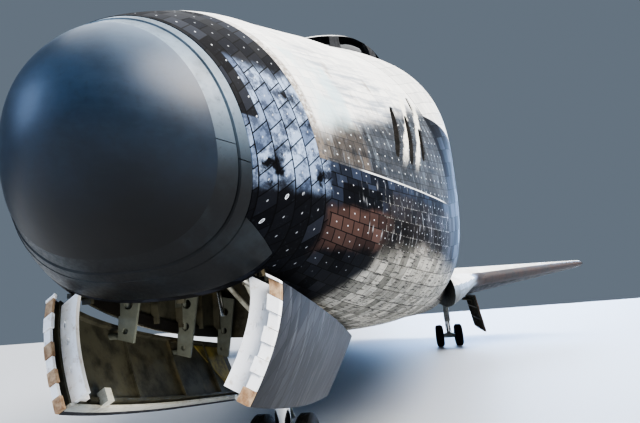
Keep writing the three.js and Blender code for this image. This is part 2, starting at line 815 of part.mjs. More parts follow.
function rudderBar(grow, low, high) {
  return bar(
    at(rudderHinge(low), 0, low),
    at(rudderHinge(high), 0, high),
    finHalf(rudderHinge(low), low) + grow,
    finHalf(rudderHinge(high), high) + grow,
    20,
  );
}

// A slab of everything aft of a line parallel to the rudder hinge
function rudderCutter(ahead, low, high) {
  const ring = (height) => {
    const front = rudderHinge(height) - ahead * finHalf(rudderHinge(height), height);
    return [
      at(front, -60, height),
      at(front + 400, -60, height),
      at(front + 400, 60, height),
      at(front, 60, height),
    ];
  };
  return loft([ring(low), ring(high)]);
}

function makeFin() {
  const whole = loft([FIN_ROOT - 8, 560, 640, 740, FIN_TIP].map(finRing));
  const bodyTop = bodyLoft([...AFT_STATIONS, BASE + GAP], -GAP);
  const fairing = bar(at(1490, 0, 542), at(1563, 0, 548), 21, 18, 16);
  const fin = whole
    .subtract(rudderCutter(0.95, RUDDER.low - 1, 900))
    .subtract(rudderBar(CLEAR + 0.25, RUDDER.low - 1, 850))
    .add(fairing)
    .subtract(bodyTop)
    .subtract(box([1200, 1310.5], [-60, 60], [400, 900]))
    .subtract(box([1527, 1600], [-60, 60], [400, 522]));
  piece("fin", fin.decompose().sort((a, b) => b.volume() - a.volume())[0], MATERIALS.blanket);

  const panelBody = whole
    .intersect(rudderCutter(0, RUDDER.low, FIN_TIP - 0.5))
    .add(rudderBar(0, RUDDER.low, FIN_TIP - 0.5).intersect(box([1400, 1800], [-60, 60], [RUDDER.low, FIN_TIP - 0.5])));
  for (const [name, side] of SIDES) {
    // What lies more than 30 degrees ahead of straight outboard from the hinge is taken off.
    const ring = (height) => {
      const hinge = rudderHinge(height);
      return [
        at(hinge + 0.25, -side * 3, height),
        at(hinge + 0.25, side * 0.4, height),
        at(hinge - 40 * Math.sin(Math.PI / 6), side * 40 * Math.cos(Math.PI / 6), height),
        at(hinge - 60, side * 30, height),
        at(hinge - 60, -side * 3, height),
      ];
    };
    const half = panelBody
      .intersect(box([1400, 1800], side > 0 ? [0.25, 60] : [-60, -0.25], [500, 900]))
      .subtract(loft([ring(RUDDER.low - 5), ring(FIN_TIP + 5)]));
    piece(`rudder_panel_${name}`, half, MATERIALS.blanket);
  }
}

// Landing gear
// Height in the airframe's frame at which a wheel of this radius rests on the floor.
const axleHeight = (station, radius) => floorUnder(station) + radius / Math.cos(PITCH);

function tyre(station, port, height, radius, width, sides) {
  const half = width / 2;
  const rim = radius * 0.52;
  const profile = [
    [rim, -half * 0.8],
    [radius * 0.78, -half],
    [radius * 0.94, -half * 0.78],
    [radius, -half * 0.3],
    [radius, half * 0.3],
    [radius * 0.94, half * 0.78],
    [radius * 0.78, half],
    [rim, half * 0.8],
    [rim, -half * 0.8],
  ];
  return turned(profile, at(station, port, height), [1, 0, 0], sides);
}

// An open main gear door: the port of its inner face at its top and its foot, and its top's height
const MAIN_DOOR = { top: 182, foot: 193, height: 264.5 };

function makeMainGear() {
  const { station, port, radius, width, spacing } = MAIN_GEAR;
  const height = axleHeight(station, radius);
  const tyreWidth = width;
  for (const [name, side] of SIDES) {
    const p = side * port;
    const top = MAIN_WELL.roof - GAP;
    for (const [where, way] of [["inner", -1], ["outer", 1]])
      piece(
        `main_tyre_${where}_${name}`,
        tyre(station, p + way * side * (spacing / 2), height, radius, tyreWidth, 24),
        MATERIALS.rubber,
      );
    for (const [where, way] of [["inner", -1], ["outer", 1]]) {
      const q = p + way * side * (spacing / 2);
      const rim = radius * 0.52 - 0.04;
      const half = tyreWidth * 0.4;
      const profile = [
        [3.3, -half],
        [rim, -half],
        [rim, half],
        [rim - 2, half],
        [rim - 2, -half + 4],
        [6, -half + 4],
        [3.3, half - 1],
        [3.3, -half],
      ];
      const outwards = way * side;
      piece(
        `main_wheel_${where}_${name}`,
        turned(profile, at(station, q, height), [outwards, 0, 0], 24),
        MATERIALS.metal,
      );
    }
    const leg = bar(at(station, p, height), at(station, p, height + 34), 4, 4, 12)
      .add(bar(at(station, p, height + 30), at(station, p, 303), 6, 6, 16))
      .add(box([station - 7, station + 7], [p - 26, p + 26], [298, top]))
      .add(bar(at(station, p - 19.5 - 6.2, height), at(station, p + 19.5 + 6.2, height), 3, 3, 12))
      .add(bar(at(station, p - 10, height), at(station, p + 10, height), 4.6, 4.6, 12))
      .add(bar(at(station, p, height + 36), at(station - 62, p, 302), 2.6, 2.6, 8))
      .add(box([station - 68, station - 56], [p - 12, p + 12], [298, top]))
      .add(bar(at(station + 4, p, height + 2), at(station + 14, p, height + 20), 1.6, 1.6, 6))
      .add(bar(at(station + 14, p, height + 20), at(station + 4, p, height + 38), 1.6, 1.6, 6));
    piece(`main_gear_strut_${name}`, leg, MATERIALS.gearPaint);

    const long = MAIN_WELL.outer - MAIN_WELL.inner;
    const face = (s) => [
      at(s, side * MAIN_DOOR.top, MAIN_DOOR.height),
      at(s, side * (MAIN_DOOR.top + 4), MAIN_DOOR.height),
      at(s, side * (MAIN_DOOR.foot + 4), MAIN_DOOR.height - long),
      at(s, side * MAIN_DOOR.foot, MAIN_DOOR.height - long),
    ];
    const door = loft([face(MAIN_WELL.from + 1), face(MAIN_WELL.to - 1)]);
    const arms = [1084, 1128, 1184].map((s) => {
      const inside = side * (MAIN_WELL.outer - 2.8);
      const foot = [inside, side * (MAIN_WELL.outer - GAP)].sort((x, y) => x - y);
      return bar(at(s, inside, 292), at(s, inside, 257), 1.6, 1.6, 8)
        .add(bar(at(s, inside, 258.4), at(s, side * (MAIN_DOOR.top + 2.4), 256), 1.6, 1.6, 8))
        .add(box([s - 2.5, s + 2.5], foot, [280, 291]));
    });
    piece(`main_gear_door_${name}`, door.add(union(arms)), MATERIALS.blackTile);
  }
}

// The port nose gear door when it is open: it turns about the well's edge, then its arms carry it
// outboard and down. The starboard door is its mirror image.
const NOSE_DOOR = { front: [274, 30, 302], rear: [386, 30, 276.6], open: 62, out: 5.5, down: 3.4 };

// The arms that carry it: station, and the height at which each turns outboard to the door
const NOSE_ARMS = [
  [300, 287],
  [338, 276.5],
  [376, 271],
];

function openedDoor(solid, side) {
  const { front, rear, open, out, down } = NOSE_DOOR;
  const [from, to] = [front, rear].map(
    ([station, port, height]) => new THREE.Vector3(...at(station, side * port, height)),
  );
  const turn = new THREE.Matrix4().makeRotationAxis(
    to.clone().sub(from).normalize(),
    THREE.MathUtils.degToRad(-side * open),
  );
  const place = new THREE.Matrix4()
    .makeTranslation(from.x + side * out, from.y, from.z - down)
    .multiply(turn)
    .multiply(new THREE.Matrix4().makeTranslation(-from.x, -from.y, -from.z));
  return solid.transform([...place.elements]);
}

const NOSE_GEAR = { station: 378, radius: 16, width: 8.8, spacing: 22 };

function makeNoseGear() {
  const { station, radius, width, spacing } = NOSE_GEAR;
  const height = axleHeight(station, radius);
  const top = WELL.roof - GAP;
  const turn = height + 26;
  const leg = bar(at(station, 0, turn), at(station, 0, 322), 4.6, 4.6, 16)
    .add(bar(at(station, -WELL.half + GAP, 318), at(station, WELL.half - GAP, 318), 3.4, 3.4, 10))
    .add(box([station - 6, station + 6], [-9, 9], [314, top]))
    .add(bar(at(station, 0, turn + 22), at(station - 58, 0, 322), 2.4, 2.4, 12))
    .add(box([station - 64, station - 52], [-10, 10], [319, top]));
  piece("nose_gear_strut", leg, MATERIALS.gearPaint);
  const fork = bar(at(station, 0, height), at(station, 0, turn - CLEAR), 3.6, 3.6, 12)
    .add(bar(at(station, 0, turn - 5), at(station, 0, turn - CLEAR), 5.4, 5.4, 16))
    .add(bar(at(station, -11 - 3.6, height), at(station, 11 + 3.6, height), 2, 2, 10))
    .add(bar(at(station, -6, height), at(station, 6, height), 3.6, 3.6, 10))
    .add(bar(at(station + 3, 0, height + 2), at(station + 10, 0, height + 12), 1.2, 1.2, 6))
    .add(bar(at(station + 10, 0, height + 12), at(station + 3, 0, turn - 3), 1.2, 1.2, 6));
  piece("nose_gear_fork", fork, MATERIALS.gearPaint);
  const doorStations = [WELL.from - 2, 281, 290, 303, 322, 350, WELL.to + 4];
  const doorSkin = bodyLoft(doorStations).subtract(bodyLoft(doorStations, 3.6));
  for (const [name, side] of SIDES) {
    const p = side * (spacing / 2);
    piece(`nose_tyre_${name}`, tyre(station, p, height, radius, width, 20), MATERIALS.rubber);
    const rim = radius * 0.52 - 0.04;
    const half = width * 0.4;
    const profile = [
      [2.2, -half],
      [rim, -half],
      [rim, half],
      [rim - 1.4, half],
      [rim - 1.4, -half + 2.5],
      [3.8, -half + 2.5],
      [2.2, half - 0.5],
      [2.2, -half],
    ];
    piece(
      `nose_wheel_${name}`,
      turned(profile, at(station, p, height), [side, 0, 0], 20),
      MATERIALS.metal,
    );
    const edge = WELL.half - 0.5;
    const leaf = box([WELL.from, WELL.to - 2], side > 0 ? [0.3, edge] : [-edge, -0.3], [230, 325]);
    const inboard = openedDoor(bodyLoft(doorStations).intersect(leaf), side);
    const arms = NOSE_ARMS.map(([s, elbow]) => {
      const foot = [side * 27.6, side * (WELL.half - GAP)].sort((x, y) => x - y);
      const out = bar(at(s, side * 27, elbow), at(s, side * 50, elbow), 1.1, 1.1, 8);
      return bar(at(s, side * 27.6, elbow + 27), at(s, side * 27.6, elbow - 0.9), 1.1, 1.1, 8)
        .add(box([s - 2, s + 2], foot, [elbow + 18, elbow + 25]))
        .add(out.intersect(inboard));
    });
    const door = openedDoor(doorSkin.intersect(leaf), side).add(union(arms));
    piece(`nose_gear_door_${name}`, door, MATERIALS.blackTile);
  }
}

makeForwardFuselage();
makeMidFuselage();
makeAftFuselage();
makeEngines();
makePods();
makeWings();
makeFin();
makeMainGear();
makeNoseGear();

export default part;
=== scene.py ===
"""A winged re-entry spaceplane parked on its landing gear, dressed over its CAD frame.

Shapes are made in inches in the airframe's own axes, as the CAD is: each point is (port, station,
height), with station measured aft. piece() turns them to metres in the row frame, pitched nose down.
"""

import math
from functools import cache, partial, reduce
from types import SimpleNamespace

import bmesh
import bpy
import numpy as np
from bpy.props import (
    FloatProperty,
    FloatVectorProperty,
    IntProperty,
    PointerProperty,
)
from mathutils import Matrix, Vector


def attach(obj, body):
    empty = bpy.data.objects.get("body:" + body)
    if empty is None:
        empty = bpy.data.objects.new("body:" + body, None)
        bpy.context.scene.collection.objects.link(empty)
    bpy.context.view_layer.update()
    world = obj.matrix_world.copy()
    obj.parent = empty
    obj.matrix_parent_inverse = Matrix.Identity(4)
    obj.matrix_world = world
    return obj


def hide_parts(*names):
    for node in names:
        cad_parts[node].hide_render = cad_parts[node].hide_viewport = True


bl_info = {
    "name": "Parked spaceplane",
    "version": (1, 0, 0),
    "blender": (4, 5, 0),
    "location": "3D View > Sidebar > Spaceplane",
    "description": "Builds the skin, windows, gear and engines of a parked spaceplane",
    "category": "Add Mesh",
}

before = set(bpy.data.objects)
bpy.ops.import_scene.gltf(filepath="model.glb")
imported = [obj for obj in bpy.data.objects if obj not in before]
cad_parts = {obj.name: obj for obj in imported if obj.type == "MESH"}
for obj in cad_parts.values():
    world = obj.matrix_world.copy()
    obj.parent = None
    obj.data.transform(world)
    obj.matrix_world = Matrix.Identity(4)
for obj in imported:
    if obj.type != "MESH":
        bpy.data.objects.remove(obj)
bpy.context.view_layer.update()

# Driving dimensions, in inches
INCH = 0.0254
PITCH = math.radians(3.5)
TOTAL_HEIGHT = 687
NOSE_TIP, NOSE_HEIGHT = 235, 339
AFT_MOST = 1702
FIN_ROOT, FIN_TIP = 500, 815.7
CABIN_END, BAY_END, BASE = 582, 1307, 1528
SIDES = (("port", 1), ("starboard", -1))
GAP, CLEAR = 0.06, 0.4

# station, width, widest, top, bottom, round (upper exponent), square (lower exponent)
BODY_ROWS = np.array([
    (NOSE_TIP, 0, NOSE_HEIGHT, NOSE_HEIGHT, NOSE_HEIGHT, 2, 2),
    (240, 16, 338, 354.5, 323, 2, 2.25),
    (250, 27.4, 335.5, 365.5, 311.5, 2, 2.4),
    (265, 38, 332, 377, 301, 2, 2.5),
    (285, 49, 330, 389.5, 293, 2, 2.5),
    (300, 56, 329.5, 396.5, 289, 2, 2.55),
    (325, 67, 330, 408.8, 284, 2, 2.7),
    (350, 77, 332, 421, 280.5, 2.02, 2.9),
    (378, 87, 337, 433, 277, 2.05, 3.1),
    (420, 97.5, 358, 451, 273, 2.3, 3.5),
    (460, 103, 376, 466, 271.5, 2.46, 3.75),
    (500, 105, 388, 480, 269.5, 2.38, 4.1),
    (540, 105.8, 395, 492, 268, 2.2, 4.8),
    (582, 106, 400, 506, 267, 2, 6),
    (1307, 106, 400, 506, 267, 2, 6),
    (1360, 111, 388, 508, 267, 1.95, 7),
    (1420, 120, 374, 510, 268, 1.9, 7),
    (1480, 128, 362, 510, 272, 1.85, 7),
    (1528, 132, 356, 507, 280, 1.85, 6),
], float)

# station, width, base, top, round
CANOPY_ROWS = np.array([
    (434, 30, 440, 456, 2.6),
    (446, 47, 440, 466, 2.6),
    (462, 60, 436, 480, 2.7),
    (480, 68, 430, 496, 2.8),
    (500, 73, 425, 503, 2.8),
    (520, 76, 420, 505.5, 2.7),
    (550, 77, 415, 506, 2.4),
    (582, 80, 410, 506, 2.1),
], float)


# Places and curves
def through(xs, ys, x):
    """Smooth curve through a table's column that never overshoots its rows."""
    xs, ys, x = (np.asarray(v, float) for v in (xs, ys, x))
    slope = np.diff(ys) / np.diff(xs)
    before, after = slope[:-1], slope[1:]
    with np.errstate(divide="ignore", invalid="ignore"):
        mean = np.where(before * after <= 0, 0, 2 * before * after / (before + after))
    tangent = np.concatenate([slope[:1], mean, slope[-1:]])
    x = np.clip(x, xs[0], xs[-1])
    i = np.clip(np.searchsorted(xs, x, side="right") - 1, 0, len(xs) - 2)
    width = xs[i + 1] - xs[i]
    t = (x - xs[i]) / width
    return (
        ys[i] * (1 + 2 * t) * (1 - t) ** 2
        + tangent[i] * width * t * (1 - t) ** 2
        + ys[i + 1] * t * t * (3 - 2 * t)
        + tangent[i + 1] * width * t * t * (t - 1)
    )


def nose_scale(station):
    return np.sqrt(np.maximum(0, np.asarray(station, float) - NOSE_TIP))


def body_row(station):
    """width, widest, top, bottom, round and square at these stations."""
    xs = nose_scale(BODY_ROWS[:, 0])
    return [through(xs, BODY_ROWS[:, k], nose_scale(station)) for k in range(1, 7)]


def power(value, exponent):
    return np.sign(value) * np.abs(value) ** exponent


def reach(points):
    """Length of a run of points up to each of them."""
    return np.concatenate([[0], np.cumsum(np.linalg.norm(np.diff(points, axis=0), axis=1))])


def even(points, count):
    """The same open run of points, at even steps of its length."""
    steps = reach(points)
    at = np.linspace(0, steps[-1], count + 1)
    return np.stack([np.interp(at, steps, points[:, k]) for k in range(points.shape[1])], 1)


def body_ring(station, inset=0.0, quarter=24):
    """A fuselage section: port, round over the crown, starboard, keel; even steps in each quarter."""
    width, widest, top, bottom, rounding, square = (float(v) for v in body_row(station))
    angle = np.linspace(0, math.pi / 2, 181)

    def arc(half, exponent, sign):
        p = (width - inset) * np.cos(angle) ** (2 / exponent)
        h = widest + sign * (half - inset) * np.sin(angle) ** (2 / exponent)
        p[-1] = 0
        return even(np.stack([p, h], 1), quarter)

    upper, lower = arc(top - widest, rounding, 1), arc(widest - bottom, square, -1)
    flip = np.array([-1, 1])
    loop = np.concatenate([upper[:-1], (upper * flip)[::-1][:-1], (lower * flip)[:-1], lower[::-1][:-1]])
    return np.column_stack([loop[:, 0], np.full(len(loop), station), loop[:, 1]])


def canopy_ring(station, inset=0.0, steps=40):
    width, base, top, rounding = (
        float(through(CANOPY_ROWS[:, 0], CANOPY_ROWS[:, k], station)) for k in range(1, 5)
    )
    angle = np.linspace(0, math.pi, 361)
    p = (width - inset) * power(np.cos(angle), 2 / rounding)
    h = base + (top - base - inset) * power(np.sin(angle), 2 / rounding)
    arc = even(np.stack([p, h], 1), steps)
    foot = [[width - inset, base - 30]]
    loop = np.concatenate([foot, arc, [[-foot[0][0], foot[0][1]]]])
    return np.column_stack([loop[:, 0], np.full(len(loop), station), loop[:, 1]])


def to_row(points):
    """Metres in the row frame from inches in the airframe's axes."""
    p, s, h = np.asarray(points, float).reshape(-1, 3).T
    c, n = math.cos(PITCH), math.sin(PITCH)
    ahead = NOSE_TIP * c - NOSE_HEIGHT * n
    behind = AFT_MOST * c - FIN_TIP * n
    lift = TOTAL_HEIGHT - (AFT_MOST * n + FIN_TIP * c)
    return np.stack([p, s * c - h * n - (ahead + behind) / 2, s * n + h * c + lift], 1) * INCH


def floor_under(station):
    """Height in the airframe's axes of the floor under a station."""
    lift = TOTAL_HEIGHT - (AFT_MOST * math.sin(PITCH) + FIN_TIP * math.cos(PITCH))
    return (-lift - station * math.sin(PITCH)) / math.cos(PITCH)


# Solids
def linked(name, data):
    """A new object with this data, in the scene."""
    made = bpy.data.objects.new(name, data)
    bpy.context.scene.collection.objects.link(made)
    return made


def solid(points, faces):
    mesh = bpy.data.meshes.new("solid")
    mesh.from_pydata(np.asarray(points, float).tolist(), [], [list(map(int, f)) for f in faces])
    return linked("solid", mesh)


def loft(rings):
    """A solid through rings of points with the same count, closed by a fan at each end."""
    rings = [np.asarray(r, float) for r in rings]
    count = len(rings[0])
    points = np.concatenate(rings)
    faces = []
    for r in range(len(rings) - 1):
        for i in range(count):
            j = (i + 1) % count
            faces.append((r * count + i, (r + 1) * count + i, (r + 1) * count + j, r * count + j))
    for ring, start, flip in ((rings[0], 0, False), (rings[-1], (len(rings) - 1) * count, True)):
        middle = len(points)
        points = np.concatenate([points, [ring.mean(0)]])
        for i in range(count):
            a, b = start + i, start + (i + 1) % count
            faces.append((middle, b, a) if flip else (middle, a, b))
    return outward(solid(points, faces))


def prism(corners, *ports):
    """A polygon of [station, height] corners carried across the craft through these ports."""
    return loft([[(port, s, h) for s, h in corners] for port in ports])


def outward(made):
    """Turns a closed solid's faces outwards if they point in."""
    mesh = bmesh.new()
    mesh.from_mesh(made.data)
    if mesh.calc_volume(signed=True) < 0:
        bmesh.ops.reverse_faces(mesh, faces=mesh.faces)
    mesh.to_mesh(made.data)
    mesh.free()
    return made


def box(station, port, height):
    (s0, s1), (p0, p1), (h0, h1) = (sorted(v) for v in (station, port, height))
    points = [(p, s, h) for h in (h0, h1) for s in (s0, s1) for p in (p0, p1)]
    faces = [(0, 2, 3, 1), (4, 5, 7, 6), (0, 1, 5, 4), (2, 6, 7, 3), (0, 4, 6, 2), (1, 3, 7, 5)]
    return outward(solid(points, faces))


def turned(profile, foot, way, sides=48):
    """A turned solid from a closed profile of [radius, distance] pairs along a line from a point."""
    way = Vector(way).normalized()
    turn = way.to_track_quat("Z", "Y").to_matrix()
    rows = []
    points, faces = [], []
    for radius, along in profile:
        if radius < 1e-6:
            rows.append([len(points)])
            points.append((0, 0, along))
            continue
        rows.append(list(range(len(points), len(points) + sides)))
        for i in range(sides):
            angle = 2 * math.pi * i / sides
            points.append((radius * math.cos(angle), radius * math.sin(angle), along))
    loop = rows + ([] if len(rows[0]) == 1 and len(rows[-1]) == 1 else rows[:1])
    for low, high in zip(loop, loop[1:]):
        for i in range(sides):
            j = (i + 1) % sides
            if len(low) == 1 and len(high) == 1:
                continue
            if len(low) == 1:
                faces.append((low[0], high[j], high[i]))
            elif len(high) == 1:
                faces.append((low[i], low[j], high[0]))
            else:
                faces.append((low[i], low[j], high[j], high[i]))
    points = np.array(points) @ np.array(turn).T + np.array(foot, float)
    return outward(solid(points, faces))


def bar(start, end, radius, sides=24, far=None):
    """A round bar, which may taper to a far radius."""
    way = np.subtract(end, start)
    long = float(np.linalg.norm(way))
    return turned([(0, 0), (radius, 0), (far or radius, long), (0, long)], start, way, sides)


def upright(port, station, low, high, *size):
    return bar((port, station, low), (port, station, high), *size)


def crossbar(start, end, station, height, *size):
    return bar((start, station, height), (end, station, height), *size)


def slab(corners, depth, thickness):
    """A flat polygon given a thickness along its own normal, from depth to depth + thickness."""
    corners = np.asarray(corners, float)
    normal = np.cross(corners[1] - corners[0], corners[2] - corners[0])
    normal /= np.linalg.norm(normal)
    return loft([corners + normal * depth, corners + normal * (depth + thickness)])


def drop(*made):
    for o in made:
        mesh = o.data
        bpy.data.objects.remove(o)
        bpy.data.meshes.remove(mesh)


def carve(made, operation, *others):
    """made with the others cut away, added or kept in common; the others are used up."""
    for other in others:
        step = made.modifiers.new("carve", "BOOLEAN")
        step.operation, step.object, step.solver = operation, other, "MANIFOLD"
    return bake(made, *others)


def bake(made, *used):
    """The object with its modifiers turned into plain mesh."""
    seen = made.evaluated_get(bpy.context.evaluated_depsgraph_get())
    mesh = bpy.data.meshes.new_from_object(seen)
    made.modifiers.clear()
    old = made.data
    made.data = mesh
    bpy.data.meshes.remove(old)
    drop(*used)
    return made


def cut(made, *others):
    return carve(made, "DIFFERENCE", *others)


def join(made, *others):
    return carve(made, "UNION", *others)


def common(made, *others):
    return carve(made, "INTERSECT", *others)


def heap(*parts):
    """Several objects as one, without a boolean."""
    parts = [p for p in parts if p is not None]
    first = parts[0]
    with bpy.context.temp_override(
        active_object=first, object=first, selected_objects=parts, selected_editable_objects=parts
    ):
        bpy.ops.object.join()
    return first


def sided(side, *points):
    """Points given for the port side, on either side."""
    return [(side * p, s, h) for p, s, h in points]


def mirror(points):
    return np.asarray(points, float) * np.array([-1, 1, 1])


def loose_largest(made):
    """Keeps only the largest loose part of a solid."""
    mesh = bmesh.new()
    mesh.from_mesh(made.data)
    seen, groups = set(), []
    for vert in mesh.verts:
        if vert in seen:
            continue
        stack, group = [vert], []
        seen.add(vert)
        while stack:
            v = stack.pop()
            group.append(v)
            for edge in v.link_edges:
                w = edge.other_vert(v)
                if w not in seen:
                    seen.add(w)
                    stack.append(w)
        groups.append(group)
    groups.sort(key=len, reverse=True)
    bmesh.ops.delete(mesh, geom=[v for g in groups[1:] for v in g], context="VERTS")
    mesh.to_mesh(made.data)
    mesh.free()
    return made


# Surface coordinates
def girth_table():
    """Arc length from the crown, in inches, by station and by direction seen from the section's middle."""
    stations = np.concatenate([
        NOSE_TIP + 0.05 + np.linspace(0, 1, 30) ** 2 * 60, np.linspace(300, CABIN_END, 60),
        [BAY_END, 1330, 1360, 1390, 1420, 1450, 1480, 1510, BASE],
    ])
    turn = np.linspace(0, math.pi, 241)
    arcs = []
    for station in stations:
        ring = body_ring(station, 0, 90)
        half = np.concatenate([ring[:91], ring[271:]])  # port side: widest to crown, keel to widest
        widest = float(body_row(station)[1])
        across = np.arctan2(half[:, 0], half[:, 2] - widest)
        order = np.argsort(across)
        across, half = across[order], half[order]
        arcs.append(np.interp(turn, across, reach(half[:, [0, 2]])))
    return stations, turn, np.array(arcs)


GIRTH = girth_table()


def along_body(station):
    """Length along the fuselage's outline, in inches, from the nose."""
    s = NOSE_TIP + np.linspace(0, 1, 400) ** 2 * (1540 - NOSE_TIP)
    width, _, top, bottom, *_ = body_row(s)
    mean = (width + (top - bottom) / 2) / 2
    return np.interp(station, s, reach(np.column_stack([s, mean])))


def body_uv(points, side):
    """(length along the body, girth from the crown, port positive), in metres."""
    p, s, h = points.T
    stations, turn, arcs = GIRTH
    widest = body_row(s)[1]
    theta = np.arctan2(np.abs(p), h - widest)
    i = np.clip(np.searchsorted(stations, s) - 1, 0, len(stations) - 2)
    f = np.clip((s - stations[i]) / (stations[i + 1] - stations[i]), 0, 1)
    x = np.clip(theta / (turn[1] - turn[0]), 0, len(turn) - 1.001)
    j = x.astype(int)
    g = x - j
    low = arcs[i, j] * (1 - g) + arcs[i, j + 1] * g
    high = arcs[i + 1, j] * (1 - g) + arcs[i + 1, j + 1] * g
    lean = np.clip((360 - s) / 100, 0, 1) * CAP_SLANT * (h - NOSE_HEIGHT)
    u = along_body(s + lean)
    return np.stack([u, side * (low * (1 - f) + high * f)], 1) * INCH


def flat_uv(across, up):
    """Surface coordinates straight from two of the point's own axes."""
    def made(points, side):
        return np.stack([points[:, across], points[:, up]], 1) * INCH
    return made


plan_uv = flat_uv(1, 0)
side_uv = flat_uv(1, 2)
face_uv = flat_uv(2, 0)  # for a face that looks aft
SHARE_GIRTH = 6.0  # half the girth, in metres, where the flank's tile rows are their real width


def share_uv(points, side):
    """As body_uv, but with girth as a share of the section's, so that rows run with the body."""
    uv = body_uv(points, side)
    half = np.interp(points[:, 1], GIRTH[0], GIRTH[2][:, -1]) * INCH
    uv[:, 1] *= SHARE_GIRTH / half
    return uv


def read(items, field, width=1, kind=float):
    """One field of every vertex, loop or face."""
    values = np.zeros(len(items) * width, kind)
    items.foreach_get(field, values)
    return values.reshape(-1, width) if width > 1 else values


def paint_uv(mesh, rule, name="skin"):
    layer = mesh.uv_layers.get(name) or mesh.uv_layers.new(name=name)
    corners = read(mesh.vertices, "co", 3)[read(mesh.loops, "vertex_index", kind=int)]
    side = np.where(read(mesh.polygons, "center", 3)[:, 0] >= 0, 1.0, -1.0)
    uv = rule(corners, np.repeat(side, read(mesh.polygons, "loop_total", kind=int)))
    layer.data.foreach_set("uv", uv.astype(np.float32).ravel())


def piece(made, name, finish, stands_for=None, uv=None, body="airframe"):
    """Turns a solid in inches, or a list of them, into a finished piece that rides on its body.

    The finish may be a list, in the order of the faces' material places. stands_for names the CAD
    node that the piece replaces."""
    made = heap(*made) if isinstance(made, list) else made
    finishes = finish if isinstance(finish, list) else [finish]
    mesh = made.data
    places = read(mesh.polygons, "material_index", kind=np.int32)
    mesh.materials.clear()
    for each in finishes:
        mesh.materials.append(MATERIALS[each]())
    mesh.polygons.foreach_set("material_index", np.minimum(places, len(finishes) - 1))
    if uv is not None:
        for other in [layer.name for layer in mesh.uv_layers if layer.name != "skin"]:
            mesh.uv_layers.remove(mesh.uv_layers[other])
        paint_uv(mesh, uv)
        if uv is body_uv:
            paint_uv(mesh, share_uv, "share")
    co = read(mesh.vertices, "co", 3)
    inches = mesh.attributes.get("inches") or mesh.attributes.new("inches", "FLOAT_VECTOR", "POINT")
    inches.data.foreach_set("vector", co.astype(np.float32).ravel())
    mesh.vertices.foreach_set("co", to_row(co).ravel())
    mesh.shade_smooth()
    mesh.set_sharp_from_angle(angle=math.radians(35))
    mesh.update()
    made.name = mesh.name = name
    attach(made, body)
    if stands_for:
        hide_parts(stands_for)
    return made


# Materials
def colour(text):
    """Linear colour from an sRGB hex value."""
    values = [int(text[i:i + 2], 16) / 255 for i in (0, 2, 4)]
    return (*[v / 12.92 if v <= 0.04045 else ((v + 0.055) / 1.055) ** 2.4 for v in values], 1.0)


def chosen(name):
    """A colour from the sidebar."""
    return (*getattr(bpy.context.scene.spaceplane_colours, name), 1.0)


def chosen_size(name):
    """A size from the sidebar, in metres."""
    return getattr(bpy.context.scene.spaceplane_sizes, name)


TREES = []  # the node trees being filled, the innermost last
MATERIALS, SLOTS = {}, {}


def feed(target, value):
    """Links a socket to an input, or sets the input's own value, where a text is an sRGB colour."""
    if isinstance(value, bpy.types.NodeSocket):
        TREES[-1].links.new(value, target)
    elif value is not None:
        target.default_value = colour(value) if isinstance(value, str) else value


def node(kind, *values, **settings):
    """Adds a node to the tree being filled. values feed its inputs in order; settings are its
    properties, or its inputs where the name starts with a capital."""
    made = TREES[-1].nodes.new(kind if "Node" in kind else "ShaderNode" + kind)
    for key, value in settings.items():
        if key[0].isupper():
            feed(made.inputs[key.replace("_", " ")], value)
        else:
            setattr(made, key, value)
    for target, value in zip(made.inputs, values):
        feed(target, value)
    return made


def finish(slot=None):
    """Keeps a function that fills a material's tree. The material has the function's name, and the slot
    is kept in SLOTS, which nothing reads."""
    def keep(fill):
        @cache
        def give():
            material = bpy.data.materials.new(fill.__name__)
            material.use_nodes = True
            TREES.append(material.node_tree)
            TREES[-1].nodes.clear()
            node("OutputMaterial", fill().outputs[0])
            TREES.pop()
            return material
        MATERIALS[fill.__name__], SLOTS[fill.__name__] = give, slot
        return fill
    return keep


def maths(operation, *values):
    return node("Math", *values, operation=operation).outputs[0]


def times(*values):
    return reduce(partial(maths, "MULTIPLY"), values)


def without(share):
    return maths("SUBTRACT", 1.0, share)


def tint(factor, first, second):
    made = node("Mix", factor, data_type="RGBA")
    feed(made.inputs[6], first)
    feed(made.inputs[7], second)
    return made.outputs[2]


def span(value, low, high, out_low=0.0, out_high=1.0, kind="SMOOTHSTEP"):
    return node("MapRange", value, low, high, out_low, out_high, interpolation_type=kind).outputs[0]


def wash(base, second, value, low, high, most=1.0):
    """base, turning to the second colour as value goes from low to high, by most at the most."""
    return tint(span(value, low, high, 0.0, most), base, second)


def lay(base, second, *shares):
    """base under the second colour, laid on by the product of these shares."""
    return tint(times(*shares), base, second)


def skin_uv(layer="skin"):
    return node("UVMap", uv_map=layer).outputs[0]


def place():
    return node("TexCoord").outputs["Object"]


def noise(scale, detail, rough, squeeze=None, where=None):
    """Noise at the object's own coordinates or at where, drawn out by squeeze along each axis."""
    where = where or place()
    if squeeze:
        where = node("VectorMath", where, (*squeeze, 1.0)[:3], operation="MULTIPLY").outputs[0]
    return node("TexNoise", where, Scale=scale, Detail=detail, Roughness=rough).outputs[0]


def bump(height, strength, distance, normal=None):
    return node("Bump", Height=height, Strength=strength, Distance=distance, Normal=normal).outputs[0]


def shader(base, rough, normal=None, **settings):
    return node("BsdfPrincipled", base, Roughness=rough, Normal=normal, **settings)


